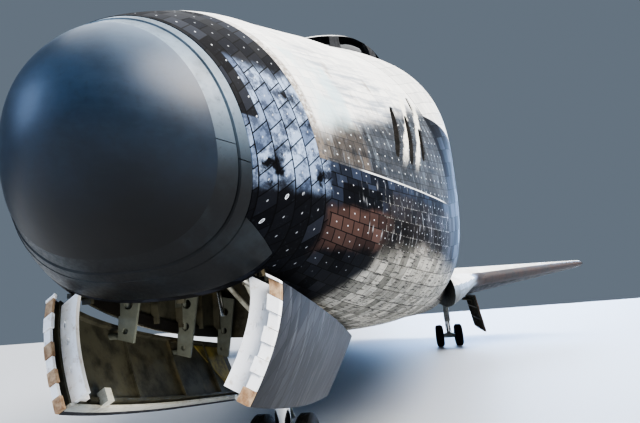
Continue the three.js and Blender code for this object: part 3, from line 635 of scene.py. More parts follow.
def tiles(size, seam=None, across=None, vector=None, swap=False):
    """A staggered tile field on the skin's coordinates: gap, distance from the gap, shade, two more
    random shares, and distance from the tile's middle."""
    seam = seam or chosen_size("tile_gap")
    wide = across or size
    uv = node("SeparateXYZ", vector or skin_uv()).outputs
    first, second = (1, 0) if swap else (0, 1)
    x, y = maths("DIVIDE", uv[first], size), maths("DIVIDE", uv[second], wide)
    row = maths("FLOOR", x)
    y = maths("ADD", y, maths("FRACT", times(row, 0.5)))
    edges, offs = [], []
    for value, side in ((x, size), (y, wide)):
        edges.append(times(maths("PINGPONG", value, 0.5), side))
        off = times(maths("SUBTRACT", maths("FRACT", value), 0.5), side)
        offs.append(times(off, off))
    edge = maths("MINIMUM", *edges)
    cell = node("CombineXYZ", row, maths("FLOOR", y), float(swap))
    random = node("TexWhiteNoise", cell.outputs[0]).outputs
    more = node("SeparateXYZ", random[1]).outputs
    return SimpleNamespace(
        gap=span(edge, 0.3 * seam, 0.7 * seam, 1.0, 0.0), edge=edge, shade=random[0],
        a=more[0], b=more[1], away=maths("SQRT", maths("ADD", *offs)),
    )


def black_tiles(**settings):
    return tiles(chosen_size("black_tile"), **settings)


def blended(factor, first, second):
    """The same field taken from first where factor is 0 and from second where it is 1."""
    pairs = ((key, value, getattr(second, key)) for key, value in vars(first).items())
    return SimpleNamespace(**{
        key: node("Mix", factor, None, low, high, data_type="FLOAT").outputs[0] for key, low, high in pairs
    })


def body_place(wander=0.0, scale=6.0):
    """Station and height in inches, moved about by noise."""
    vector = node("Attribute", attribute_name="inches").outputs["Vector"]
    if wander:
        cloud = node("TexNoise", place(), Scale=scale, Detail=4.0, Roughness=0.65).outputs["Color"]
        moved = node("VectorMath", cloud, (0.5, 0.5, 0.5), operation="SUBTRACT").outputs[0]
        moved = node("VectorMath", moved, operation="SCALE", Scale=2.0 * wander).outputs[0]
        vector = node("VectorMath", vector, moved, operation="ADD").outputs[0]
    return tuple(node("SeparateXYZ", vector).outputs)[1:]


def patch(station, height, s0, s1, h0, h1, soft_s=3.0, soft_h=3.0):
    """1 inside a block of stations and heights, fading to 0 over soft inches outside it."""
    parts = []
    for value, low, high, soft in ((station, s0, s1, soft_s), (height, h0, h1, soft_h)):
        if low is not None:
            parts.append(span(value, low - soft, low))
        if high is not None:
            parts.append(span(value, high, high + soft, 1.0, 0.0))
    return times(*parts)


def line_height(station, pairs):
    """A height that follows station through these pairs."""
    low, high = pairs[0][0], pairs[-1][0]
    bottom, top = min(p[1] for p in pairs), max(p[1] for p in pairs)
    curve = node("FloatCurve", Value=span(station, low, high, kind="LINEAR"))
    points = curve.mapping.curves[0].points
    places = [((s - low) / (high - low), (h - bottom) / (top - bottom)) for s, h in pairs]
    points[0].location, points[-1].location = places[0], places[-1]
    for spot in places[1:-1]:
        points.new(*spot)
    for point in points:
        point.handle_type = "VECTOR"
    curve.mapping.update()
    return maths("MULTIPLY_ADD", curve.outputs[0], top - bottom, bottom)


def under(height, line, soft=2.0):
    """1 below a line, 0 above it."""
    return span(maths("SUBTRACT", height, line), -soft, soft, 1.0, 0.0)


def tiled(field, shades, coats, gap, rough, strength=-0.5, distance=0.004, below=None):
    """A tile field in two shades, with coats of colour over it and dark gaps sunk between the tiles."""
    base = tint(field.shade, *shades)
    for coat in coats:
        base = wash(base, *coat)
    return shader(tint(field.gap, base, gap), rough, bump(field.gap, strength, distance, below))


def worn(grain, limits, colours, rough, relief, *coats, **settings):
    """A finish that goes from one colour to the other with its grain, and stands up a little with it."""
    base = wash(*colours, grain, *limits)
    for coat in coats:
        base = wash(base, *coat)
    return shader(base, rough, bump(grain, *relief), **settings)


@finish("carbon")
def reinforced_carbon_satin():
    # Silica-coated reinforced carbon, hand laid and cured: dark blue-grey, satin, cloudy with heat
    # haze, with faint turning marks round the dome. Painted shade turns its bottom near black, a painted
    # highlight lightens its top near the tip, and a painted orange reflection lies on its top.
    cloud = noise(0.9, 5, 0.6)
    weave = noise(3, 5, 0.6, (3, 3, 9))
    fine = noise(30, 6, 0.7)
    station, height = body_place(7, 1.2)
    base = wash(chosen("dome"), "263c54", cloud, 0.36, 0.66)
    base = wash(base, "2e4052", weave, 0.45, 0.75, 0.4)
    # painted shade: the dome turns near black towards its bottom
    base = wash(base, "030406", height, 342, 310)
    base = wash(base, "0e1319", fine, 0.45, 0.8, 0.3)
    # painted highlight: pale blue-grey over the top of the dome near its tip
    base = lay(base, "7b8ea1", span(height, 342, 368), span(station, 237, 251))
    # painted reflection: faint orange over the top of the dome
    painted_reflection = times(span(height, 354, 366), span(cloud, 0.54, 0.66))
    base = lay(base, "9a7560", painted_reflection, 0.3)
    rough = span(cloud, 0.3, 0.7, 0.36, 0.48)
    return shader(base, rough, bump(weave, 0.05, 0.004, bump(fine, 0.06, 0.001)))


@finish("carbon")
def reinforced_carbon_ring():
    # The same carbon in the seal rings and chin: greener and greyer, streaked along the airflow.
    cloud = noise(2.2, 5, 0.6)
    fine = noise(34, 6, 0.7)
    station, height = body_place(4, 2)
    # painted shade and light: near black at the bottom of the rings and chin, pale blue-grey on top
    base = wash("0c0f13", "76899a", height, 318, 350)
    base = wash(base, "343f46", cloud, 0.4, 0.7, 0.6)
    base = wash(base, "1a1f23", fine, 0.5, 0.8, 0.4)
    return shader(base, span(fine, 0.3, 0.7, 0.34, 0.5), bump(fine, 0.1, 0.001))


@finish("carbon")
def reinforced_carbon_edge():
    # Leading-edge carbon after many flights: grey, browned and pinkish in patches.
    cloud = noise(1.6, 6, 0.65)
    streak = noise(2.5, 5, 0.65, (6, 1, 6))
    base = wash(chosen("edge"), "42393b", cloud, 0.35, 0.65)
    base = wash(base, "604b42", streak, 0.5, 0.75, 0.6)
    return shader(base, 0.5, bump(streak, 0.1, 0.003))


@finish("belly")
def black_ceramic_tile():
    # Borosilicate-coated silica tile, cast and sprayed: near black, satin, 150 mm square and laid
    # staggered, each a touch different, with pale ash in the flow.
    field = black_tiles()
    ash = ("7b7871", noise(2, 6, 0.65, (3, 0.6, 3)), 0.5, 0.75, 0.55)
    rough = span(field.a, 0, 1, 0.5, 0.7)
    return tiled(field, (chosen("black_tile"), "383b40"), [ash], "0e0f11", rough)


@finish()
def ash_grey_tile():
    # Black tile bleached by ash along the chine ahead of the wing: pale grey-green, streaked with soot
    # along the flow, and black again under the wing.
    soot = ("3a3a39", noise(2, 5, 0.65, (5, 0.7, 5)), 0.5, 0.7, 0.6)
    aft = (chosen("black_tile"), body_place()[0], 860, 1010)
    return tiled(black_tiles(), ("4e504c", "6f716b"), [soot, aft], "2c2c2c", 0.6, -0.4, 0.003)


@finish("dark_skin")
def scorched_black_tile():
    # The nose and cabin's black tiles, after many entries: rings of pale ash tiles smudged with soot
    # behind the cap, dark tiles with white dots on the flank, browned and ash-grey tiles towards
    # the keel, and white blanket above the cabin's side line.
    rings = black_tiles()
    share = skin_uv("share")
    rows = black_tiles(vector=share, swap=True)
    station, height = body_place()
    ws, wh = body_place(3.2, 5)
    aft = span(station, 283, 283.2, kind="LINEAR")
    field = blended(aft, rings, rows)
    soot = noise(9, 8, 0.72)
    blot = noise(3.4, 5, 0.6)
    grime = noise(40, 5, 0.7)

    dark = tint(field.shade, chosen("nose_tile"), "24272f")
    dark = wash(dark, "3b404c", field.a, 0.75, 0.8, 0.3)
    dark = wash(dark, "5d646f", grime, 0.55, 0.8, 0.25)

    # pale ash tiles round the nose, with soot blots
    lean = maths("MULTIPLY_ADD", maths("SUBTRACT", height, NOSE_HEIGHT), CAP_SLANT, station)
    pale_ring = tint(field.a, "64748f", "a5b7d2")
    pale_ring = wash(pale_ring, "3a4254", soot, 0.44, 0.6, 0.85)
    pale_ring = wash(pale_ring, "0f1117", blot, 0.54, 0.63)
    low = under(wh, 322.5, 2)
    pale = times(without(low), patch(ws, wh, None, 284, None, 352, 5, 5))
    first_ring = times(span(lean, 260.6, 260.9, 1, 0), span(height, 338, 338.6))
    pale = times(pale, without(first_ring))
    base = tint(pale, dark, pale_ring)

    # flank under the module: slate, then a black block, browned tiles and a brown-black band
    slate = tint(field.shade, "1d212b", "3c4456")
    base = lay(base, slate, patch(ws, wh, 284, 365, 321, 334, 4, 3), 0.8)
    base = lay(base, "0b0b0e", patch(station, height, 288.5, 310, 317.5, 326.5, 0.3, 0.4), 0.9)
    brown = tint(field.shade, "3d2f2c", "6d544c")
    base = lay(base, brown, patch(ws, wh, 284, 316, 309, 318, 4, 3), 0.85)
    band = tint(field.shade, "141313", "332d2b")
    base = lay(base, band, patch(ws, wh, 316, 392, 308.5, 326, 6, 4), 0.8)

    # ash-grey belly tiles with dark dashes along their rows
    ash = tint(field.shade, "87867f", "cfccc3")
    dash = noise(1.6, 4, 0.6, (4, 26), share)
    ash = wash(ash, "2b2c30", dash, 0.54, 0.64, 0.85)
    ash = wash(ash, "44433f", soot, 0.46, 0.7, 0.6)
    belly = line_height(station, [(262, 274), (290, 281), (303, 292), (314, 306), (345, 309), (380, 304),
                                  (470, 296), (582, 280)])
    belly = times(under(wh, belly, 5), span(ws, 276, 296), span(ws, 430, 560, 1, 0.45))
    base = tint(belly, base, ash)

    # side of the cabin: white above the line, dark brow of the canopy handled by its own piece
    line = line_height(station, [(388, 381), (400, 382), (442, 383), (462, 378), (478, 340), (500, 318),
                                 (582, 297)])
    white = tint(field.shade, "cfd1d0", "ecece9")
    white = lay(white, "8b8f94", field.gap, 0.5)
    upper = times(without(under(height, line, 0.2)), span(station, 388.3, 388.5))
    nose_dark = patch(station, height, 432, 512, 438, 488, 0.3, 0.3)

    gap = times(field.gap, without(times(belly, 0.35)))
    base = tint(gap, base, "08090b")
    # painted highlight: pale lines in the row seams of the flank's dark tiles, for their lit edges
    seam_highlight = times(rows.gap, patch(ws, wh, 312, 380, 306, 326, 4, 3), span(grime, 0.45, 0.6))
    base = lay(base, "a9a7a3", seam_highlight, 0.8)

    # treated spots, ring-shaped markers behind the chin, and drips of white under the module
    dots = span(field.away, 0.0055, 0.0095, 1, 0)
    dot_zone = maths("MAXIMUM", patch(ws, wh, 284, 372, 310, 334, 3, 3), first_ring)
    dot_zone = maths("MAXIMUM", dot_zone, times(patch(ws, wh, None, 300, 303, None, 3, 2), 0.55))
    base = lay(base, "d8dde4", dots, dot_zone, 0.9)
    marker = times(span(field.away, 0.009, 0.011), span(field.away, 0.016, 0.018, 1, 0))
    marker = times(marker, patch(ws, wh, None, 272, 306, 321, 1, 1), span(field.b, 0.45, 0.5))
    base = tint(marker, base, "dfe4ea")
    drip = noise(1, 3, 0.5, (30, 3.2), share)
    drip = times(span(drip, 0.62, 0.70), patch(ws, wh, 300, 378, 313, 331, 6, 3))
    base = lay(base, "c2c4c8", drip, 0.65)
    base = lay(base, white, upper, without(nose_dark))
    rough = span(field.b, 0, 1, 0.55, 0.72)
    normal = bump(field.gap, -0.55, 0.005, bump(soot, 0.08, 0.004))
    return shader(base, rough, normal, Specular_IOR_Level=0.12)


@finish("white_skin")
def scorched_white_tile():
    # The thruster module's white tiles: chalky and bright on top, streaked grey and brown with the
    # flow lower down, dark grey-brown along the lower seam and round the thrusters, with painted
    # highlights beside the thruster mouths where their inner walls would catch the light.
    share = skin_uv("share")
    field = black_tiles(seam=0.007, vector=share, swap=True)
    station, height = body_place()
    ws, wh = body_place(3.5, 4)
    streak = noise(1.3, 6, 0.62, (1.1, 9), share)
    smear = noise(1.6, 6, 0.65, (5, 1.5), share)
    cloud = noise(2.4, 5, 0.6)
    grime = noise(30, 6, 0.7)
    base = tint(field.shade, "e2e3e2", "f4f4f1")
    base = lay(base, "9da2a8", field.gap, 0.55)
    worn = times(span(wh, 398, 372), span(ws, 282, 300))
    base = lay(base, "8f9aa8", span(streak, 0.44, 0.64), worn, 0.8)
    base = lay(base, "8b7d6f", span(smear, 0.54, 0.7), worn, 0.75)
    pale = patch(ws, wh, 284, 300, 345, 368, 3, 5)
    base = lay(base, "c3dbe2", pale, span(cloud, 0.3, 0.55), 0.75)
    line = line_height(station, [(255, 338), (282, 341), (292, 346), (304, 350), (328, 359), (345, 368),
                                 (365, 377), (388, 384)])
    dark = tint(field.shade, "191d24", "363d48")
    browned = tint(field.shade, "39332e", "5f564d")
    dark = tint(patch(ws, wh, 284, 303, 334, 349, 3, 3), dark, browned)
    stain = noise(1, 6, 0.65, (14, 2.2), share)
    dark = wash(dark, "78848f", stain, 0.52, 0.68, 0.7)
    dark = wash(dark, "0f1116", stain, 0.46, 0.34, 0.8)
    dark = wash(dark, "8e949e", grime, 0.5, 0.75, 0.3)
    dark = tint(field.gap, dark, "111216")
    lower = under(wh, line, 5)
    base = lay(base, dark, lower, 0.95)
    # painted highlight: cream-white streaks beside each thruster mouth for its lit inner wall, running
    # down and forward, broken up by the grime noise
    for middle in (42, 54):
        across = maths("ABSOLUTE", maths("SUBTRACT", maths("MULTIPLY_ADD", wh, -0.85, ws), middle))
        painted_highlight = times(span(across, 1.8, 3, 1, 0), span(height, 339, 350), span(height, 392, 376))
        base = lay(base, "f3f0e4", painted_highlight, span(grime, 0.25, 0.5), 0.95)
    edge = maths("MULTIPLY_ADD", maths("SUBTRACT", height, 332), 0.143, maths("SUBTRACT", station, 279))
    rim = times(span(edge, 2.5, 4, 1, 0), span(height, 385, 365))
    base = lay(base, "857b70", rim, span(grime, 0.3, 0.6), 0.85)
    dots = times(span(field.away, 0.007, 0.012, 1, 0), under(height, line, 8))
    base = lay(base, "dfe3e5", dots, 0.85)
    sill = times(span(height, 332.75, 332.6), span(station, 296, 304), span(station, 384, 370))
    base = tint(sill, base, "e4e6e4")
    normal = bump(field.gap, -0.45, 0.004, bump(streak, 0.1, 0.004))
    return shader(base, span(cloud, 0.3, 0.7, 0.6, 0.78), normal, Specular_IOR_Level=0.15)


@finish("structure")
def side_white_tile():
    # The sides of the body: white quilted blanket above the wing root, black tile towards the keel.
    field = tiles(chosen_size("white_tile"), 0.008)
    black = black_tiles()
    grime = noise(3, 6, 0.65, (2, 0.5, 2))
    station, height = body_place()
    base = tint(field.shade, "d2d3d0", "e6e6e2")
    base = wash(base, "a9a69e", grime, 0.5, 0.72, 0.4)
    base = lay(base, "83878b", field.gap, 0.45)
    dark = tint(black.shade, "26282d", "43464c")
    dark = wash(dark, "77746d", grime, 0.5, 0.75, 0.4)
    dark = tint(black.gap, dark, "0d0e10")
    line = line_height(station, [(388, 381), (400, 382), (442, 383), (462, 378), (478, 340), (500, 318),
                                 (582, 297), (1528, 290)])
    low = under(height, line, 0.2)
    return shader(tint(low, base, dark), 0.68, bump(field.gap, -0.3, 0.003))


def quilt(size, stitch, low, high, soil, dirt):
    field = tiles(size, 0.014)
    small = tiles(stitch, 0.010)
    grime = noise(2.4, 6, 0.65, (1.6, 0.5, 1.6))
    puff = span(small.edge, 0, stitch * 0.5)
    base = tint(field.shade, low, high)
    base = wash(base, soil, grime, 0.48, 0.72, dirt)
    base = lay(base, "8f8f8c", small.gap, 0.18)
    base = lay(base, "8f908e", field.gap, 0.55)
    normal = bump(puff, 0.25, 0.006, bump(field.gap, -0.4, 0.005))
    return shader(base, 0.85, normal, Sheen_Weight=0.15)


@finish("composite")
def quilted_silica_blanket():
    # Stitched silica-fibre blanket over the load-bay doors and pods: matt off-white, sewn in squares.
    # The real stitch rows are 25 mm apart; they are drawn at 75 mm so that they show.
    return quilt(0.75, 0.075, chosen("blanket"), "e9e8e4", "a5a29a", 0.35)


@finish()
def wing_white_blanket():
    # The wing's upper face: smooth white felt sheets, stained behind the leading edge.
    return quilt(0.9, 0.3, "cfcfcb", "e3e3de", "98958d", 0.45)


@finish("composite")
def fin_white_blanket():
    # The fin's sides: white blanket in large sheets.
    return quilt(0.6, 0.15, "d4d5d2", "e8e8e5", "9f9d97", 0.35)


@finish()
def elevon_grey_white():
    # The elevons' upper faces: white felt with grey heat staining.
    return quilt(0.6, 0.2, "bfc0bd", "dadad6", "85837d", 0.6)


@finish("dark_skin")
def black_carrier_panel():
    # Black tile carrier panels round the windows: smooth, satin, slightly glassy.
    field = tiles(0.18, 0.008, vector=place())
    soot = noise(14, 6, 0.7)
    base = wash("131519", "34363b", soot, 0.45, 0.75)
    base = tint(field.gap, base, "060607")
    return shader(base, 0.7, bump(soot, 0.1, 0.002), Specular_IOR_Level=0.2)


@finish("belly")
def base_black_tile():
    # Black tile of the base shield and of the pods' and fin's hot edges, browned by the engines.
    heat = ("5d554c", noise(1.8, 6, 0.65), 0.48, 0.7, 0.6)
    return tiled(black_tiles(), ("1c1d20", "37373a"), [heat], "0b0b0c", 0.55)


@finish("belly")
def browned_black_tile():
    # The main gear doors' tiles and the nose well's rim: black, browned by the flow under the belly.
    heat = ("7a5f52", noise(2.6, 6, 0.65), 0.45, 0.7)
    return tiled(black_tiles(), ("3c322d", "5d4d44"), [heat], "131110", 0.55)


@finish("dark_skin")
def worn_door_tile():
    # The nose gear doors' tiles: slate grey, streaked darker and paler along the flow.
    streak = noise(1.8, 5, 0.6, (9, 0.8), skin_uv())
    coats = [("1b1c21", streak, 0.5, 0.68, 0.7), ("67676c", streak, 0.46, 0.32, 0.5)]
    normal = bump(streak, 0.15, 0.003)
    return tiled(black_tiles(), ("1d1f25", "3c3d43"), coats, "0f1013", 0.5, below=normal)


@finish("white_skin")
def white_edge_blanket():
    # Thermal barrier along the door edges: bright white woven sleeve, soiled at its corners.
    soil = noise(16, 6, 0.7)
    weave = noise(220, 2, 0.5)
    base = wash("fbfdff", "b3a18b", soil, 0.52, 0.75, 0.6)
    return shader(base, 0.8, bump(weave, 0.2, 0.001))


@finish("white_skin")
def tan_edge_blanket():
    # The same barrier where heat has turned its glaze tan.
    return worn(noise(14, 6, 0.7), (0.35, 0.65), ("c4ab8e", "927459"), 0.8, (0.2, 0.002))


@finish("gear_paint")
def well_primer():
    # Epoxy primer inside the gear wells: dull grey-olive, oily and dusty, and painted darker still as
    # shade for the wells and the doors' insides.
    stain = ("6a6145", noise(1.7, 4, 0.6), 0.52, 0.7, 0.5)
    return worn(noise(5, 7, 0.7), (0.4, 0.7), ("4b4c43", "262722"), 0.55, (0.15, 0.002), stain)


@finish("gear_paint")
def chromate_primer():
    # Chromate primer on bare sheet: olive yellow, thin, rubbed and dusty.
    return worn(noise(7, 6, 0.7), (0.4, 0.7), ("8a7f45", "4d4a33"), 0.55, (0.1, 0.001))


@finish()
def bay_liner_cloth():
    # Glass-cloth liner of the load bay: white, matt, in snapped panels.
    field = tiles(0.75, 0.016)
    base = tint(field.shade, "c9cac6", "dedfdb")
    base = lay(base, "77797a", field.gap, 0.7)
    return shader(base, 0.75, bump(field.edge, 0.2, 0.01))


@finish("alloy")
def radiator_silver_film():
    # Silvered film over the radiator panels: mirror-like in thin strips.
    field = tiles(0.10, 0.004, across=2.9)
    base = tint(field.shade, "c3c6c8", "dfe1e2")
    return shader(base, span(field.a, 0, 1, 0.12, 0.24), bump(field.gap, -0.2, 0.001), Metallic=0.95)


@finish("glass")
def dark_window_glass():
    # Three thick panes seen against a dark cabin: almost black, polished, a little transparent.
    haze = noise(9, 5, 0.6)
    return shader("07090c", span(haze, 0.3, 0.8, 0.03, 0.12), Specular_IOR_Level=0.12)


@finish("gear_paint")
def painted_gear_steel():
    # Forged steel under semi-gloss pale grey paint, oily in patches.
    chips = ("4b4743", noise(45, 4, 0.6), 0.68, 0.72)
    return worn(noise(6, 6, 0.7), (0.45, 0.8), (chosen("gear"), "6f6f68"), 0.42, (0.1, 0.002), chips)


@finish("alloy")
def painted_wheel_alloy():
    # Forged alloy wheel under pale grey paint, dusted with brake dust.
    paint_and_dust = chosen("wheel"), "4c4a46"
    return worn(noise(11, 6, 0.7), (0.42, 0.75), paint_and_dust, 0.45, (0.1, 0.001), Metallic=0.2)


@finish("alloy")
def polished_piston():
    # Hard chromed, ground piston: bright, with faint rings.
    ring = noise(2, 3, 0.5, (1, 1, 120))
    return shader(tint(ring, "c6c9cb", "e2e4e5"), span(ring, 0.3, 0.7, 0.08, 0.18), Metallic=1)


@finish("alloy")
def bare_alloy():
    # Machined aluminium, dulled.
    wear = noise(30, 5, 0.6)
    base = tint(wear, "8c9091", "b9bcbc")
    return shader(base, span(wear, 0.3, 0.7, 0.28, 0.5), bump(wear, 0.1, 0.001), Metallic=0.9)


@finish("tyre")
def tyre_rubber():
    # Natural-rubber tyre, moulded: matt black with grey scuff dust.
    return worn(noise(18, 6, 0.7), (0.4, 0.75), ("141416", "2b2a28"), 0.8, (0.2, 0.002))


@finish("gear_paint")
def grey_green_enamel():
    # Grey-green enamel of the cabin and of the door brackets: sprayed, semi-matt, scuffed.
    wear = noise(12, 5, 0.6)
    return shader(tint(wear, "4b514d", "6d7470"), 0.6, bump(wear, 0.05, 0.001))


@finish("engine_steel")
def engine_steel():
    # Furnace-brazed nickel alloy: straw and blue-brown heat tint over satin steel.
    heat = noise(1.8, 5, 0.6)
    fine = noise(40, 5, 0.6)
    base = wash("9a9186", "5b5450", heat, 0.35, 0.65)
    base = wash(base, "3f3b39", fine, 0.5, 0.8, 0.4)
    return shader(base, span(fine, 0.3, 0.7, 0.28, 0.45), bump(fine, 0.08, 0.001), Metallic=0.9)


@finish("engine_steel")
def sooted_niobium():
    # Coated niobium nozzle: dull brown-black, sooted.
    return worn(
        noise(12, 6, 0.7), (0.4, 0.7), ("0c0b0a", "2a2623"), 0.75, (0.15, 0.001), Specular_IOR_Level=0.2,
    )


# Repeated shapes
def repeat_tree(name, ring):
    """A tree that sets copies of one object along a line, or round a circle facing outwards."""
    if name in bpy.data.node_groups:
        return bpy.data.node_groups[name]
    tree = bpy.data.node_groups.new(name, "GeometryNodeTree")
    for label, kind, way in (
        ("Piece", "Object", "INPUT"), ("Count", "Int", "INPUT"),
        ("Radius", "Float", "INPUT") if ring else ("Step", "Vector", "INPUT"),
        ("Finish", "Material", "INPUT"), ("Mesh", "Geometry", "OUTPUT"),
    ):
        tree.interface.new_socket(name=label, in_out=way, socket_type="NodeSocket" + kind)
    TREES.append(tree)
    source, count, spread, finish_given, _ = node("NodeGroupInput").outputs
    source = node("GeometryNodeObjectInfo", Object=source).outputs["Geometry"]
    if ring:
        spots = node("GeometryNodeMeshCircle", Vertices=count, Radius=spread)
        turn = maths("DIVIDE", times(node("GeometryNodeInputIndex").outputs[0], 2 * math.pi), count)
        turn = node("CombineXYZ", Z=turn).outputs[0]
    else:
        spots = node("GeometryNodeMeshLine", Count=count, Offset=spread)
        turn = None
    copies = node("GeometryNodeInstanceOnPoints", Points=spots.outputs[0], Instance=source, Rotation=turn)
    real = node("GeometryNodeRealizeInstances", copies.outputs[0])
    coat = node("GeometryNodeSetMaterial", Geometry=real.outputs[0], Material=finish_given)
    node("NodeGroupOutput", coat.outputs[0])
    TREES.pop()
    return tree


def repeated(source, count, step=None, radius=None):
    """Copies of a solid along a line by step, or round a circle of this radius about Z, as one mesh."""
    tree = repeat_tree("copies_round_a_circle" if step is None else "copies_along_a_line", step is None)
    holder = solid([(0, 0, 0)], [])
    change = holder.modifiers.new("copies", "NODES")
    change.node_group = tree
    names = {item.name: item.identifier for item in tree.interface.items_tree if item.in_out == "INPUT"}
    change[names["Piece"]] = source
    change[names["Count"]] = count
    if step is None:
        change[names["Radius"]] = float(radius)
    else:
        change[names["Step"]] = [float(v) for v in step]
    change[names["Finish"]] = MATERIALS["painted_gear_steel"]()
    return bake(holder, source)


def placed(made, foot, way, roll=0.0):
    """Turns a shape made about Z so that Z runs along way, and moves it to foot."""
    turn = Vector(way).normalized().to_track_quat("Z", "Y").to_matrix().to_4x4()
    made.data.transform(Matrix.Translation(foot) @ turn @ Matrix.Rotation(roll, 4, "Z"))
    return made


def sort_faces(made, rule):
    """Sets each face's material place by rule(centres, normals)."""
    mesh = made.data
    kind = rule(read(mesh.polygons, "center", 3), read(mesh.polygons, "normal", 3)).astype(np.int32)
    for _ in range(int(kind.max()) + 1 - len(mesh.materials)):
        mesh.materials.append(None)
    mesh.polygons.foreach_set("material_index", kind)
    return made


def top_and_belly(centre, normal):
    """0 on faces that look down or forward, 1 on faces that look up."""
    return np.where(normal[:, 2] > 0.12, 1, 0)


def scaled(corners, grow):
    """A flat polygon with its edges moved outwards by grow."""
    corners = np.asarray(corners, float)
    normal = np.cross(corners[1] - corners[0], corners[2] - corners[0])
    normal /= np.linalg.norm(normal)
    out = []
    count = len(corners)
    for i in range(count):
        here = corners[i]
        before = here - corners[i - 1]
        after = corners[(i + 1) % count] - here
        a = np.cross(before / np.linalg.norm(before), normal)
        b = np.cross(after / np.linalg.norm(after), normal)
        middle = a + b
        middle /= middle @ middle / 2
        out.append(here + middle * grow)
    return np.array(out)


# Forward fuselage
CAP_EDGE, CAP_SLANT = 256.5, 0.17
CHIN_END, CHIN_HEIGHT = 272, 306.5
WELL_FROM, WELL_TO, WELL_HALF, WELL_ROOF = 274, 388, 30.5, 326
MODULE_FROM, MODULE_TO, MODULE_EDGE = 279, 388, 332
HATCH_STATION, HATCH_HEIGHT, HATCH_RADIUS, HATCH_INNER = 490, 352, 20, 17
CABIN_WALL, CANOPY_WALL, MIDDECK = 12, 3.6, 320

# Window panes on the port side: corners from the centre outwards, low edge then high edge
PANES = [
    [(3, 441, 460), (31, 446, 457), (27, 475.5, 487), (3, 473, 490)],
    [(35, 448, 455), (55, 463, 448), (48, 488, 482), (31, 477, 485.5)],
    [(58.5, 467, 446), (71, 493, 443), (63, 508, 475), (51.5, 491, 480)],
]
OVERHEAD_PANE = [(5, 520, 506), (25, 520, 502), (25, 542, 502), (5, 542, 506)]

# Thrusters in each flank of the module: station, port, height, how far the barrel falls on its way
# out, and half the mouth's width and height
SIDE_THRUSTERS = [
    (336.2, 61.8, 358.4, 14, 2.5, 12.4),
    (348.8, 66.3, 358.4, 14, 2.5, 12.4),
    (377.8, 70.5, 384.0, 0, 1.9, 4.6),
    (362.2, 71.2, 357.6, 0, 2.3, 8.6),
]

MOUTH_SLANT = 0.6  # how far each mouth leans aft for each inch up

NOSE_STATIONS = list(NOSE_TIP + 0.05 + np.linspace(0, 1, 26) ** 2 * 62)
CHEEK_STATIONS = [*np.arange(303, 440, 6.5), *np.arange(446, 582, 10), 581.9]


def body_loft(stations, inset=0.0, quarter=24):
    return loft([body_ring(s, inset, quarter) for s in stations])


def canopy_loft(inset, end):
    stations = [434.5, 437, 441, 446, 452, 458, 464, 472, 480, 490, 500, 512, 525, 545, end]
    return loft([canopy_ring(s, inset) for s in stations])


def ahead_of(edge):
    """Everything ahead of a plane that leans forward as the cap's joints do."""
    low, high = (edge - CAP_SLANT * (height - NOSE_HEIGHT) for height in (240, 430))
    return prism([(200, 240), (low, 240), (high, 430), (200, 430)], -80, 80)


def cap_cutter(shift):
    def face(height):
        return CAP_EDGE + shift - CAP_SLANT * (height - NOSE_HEIGHT)
    return prism([
        (200, 250), (CHIN_END + shift, 250), (CHIN_END + shift, CHIN_HEIGHT + shift),
        (face(CHIN_HEIGHT + 8), CHIN_HEIGHT + 8 + shift), (face(430), 430), (200, 430),
    ], -80, 80)


def module_cutter(grow):
    low = MODULE_EDGE - grow
    return prism([(MODULE_FROM - grow, low), (MODULE_TO + grow, low), (MODULE_TO + grow, 500),
                  (MODULE_FROM - 24 - grow, 500)], -100, 100)


def module_core(grow):
    def ring(station, half, top):
        return [
            (-half + grow, station, 328), (half - grow, station, 328),
            (half * 0.55 - grow, station, top - grow), (-half * 0.55 + grow, station, top - grow),
        ]
    return loft([ring(286 + grow, 36, 372), ring(398, 70, 424)])


def forward_body():
    return body_loft([*NOSE_STATIONS, *CHEEK_STATIONS], 0, 32)


def hatch_plug(grow):
    return crossbar(80, 120, HATCH_STATION, HATCH_HEIGHT, HATCH_INNER - 1 + grow, 64,
                    HATCH_RADIUS + 2 + grow)


def cabin_void():
    lower = common(
        body_loft([400, 432, 470, 508, 545, 574], CABIN_WALL, 8),
        box((404, 574), (-120, 120), (MIDDECK, 520)),
    )
    upper = common(canopy_loft(CANOPY_WALL, 574), box((430, 574), (-100, 100), (400, 520)))
    return join(lower, upper)


def window_slabs(grow=0.0, depth=-9, thickness=18, panes=None):
    made = []
    for _, side in SIDES:
        for corners in panes or [*PANES, OVERHEAD_PANE]:
            made.append(slab(scaled(corners if side > 0 else mirror(corners), grow if side > 0 else -grow),
                             depth, thickness))
    return made


def mouth(thruster, side, grow=0.0):
    """A thruster's mouth: round at its throat, a long oval where it meets the skin."""
    station, port, height, fall, wide, tall = thruster
    rings = []
    for out, half, up, lift in ((-12, 3.0, 3.0, fall / 2), (0, wide, tall, 0),
                                (12, wide * 1.1, tall * 1.2, -fall / 4)):
        angle = np.linspace(0, 2 * math.pi, 33)[:-1]
        rise = (up + grow) * np.sign(np.sin(angle)) * np.abs(np.sin(angle)) ** 0.8
        rings.append(np.column_stack([
            np.full(32, side * (port + out)),
            station + (half + grow) * power(np.cos(angle), 0.55) + MOUTH_SLANT * rise,
            height + lift + rise,
        ]))
    return loft(rings)


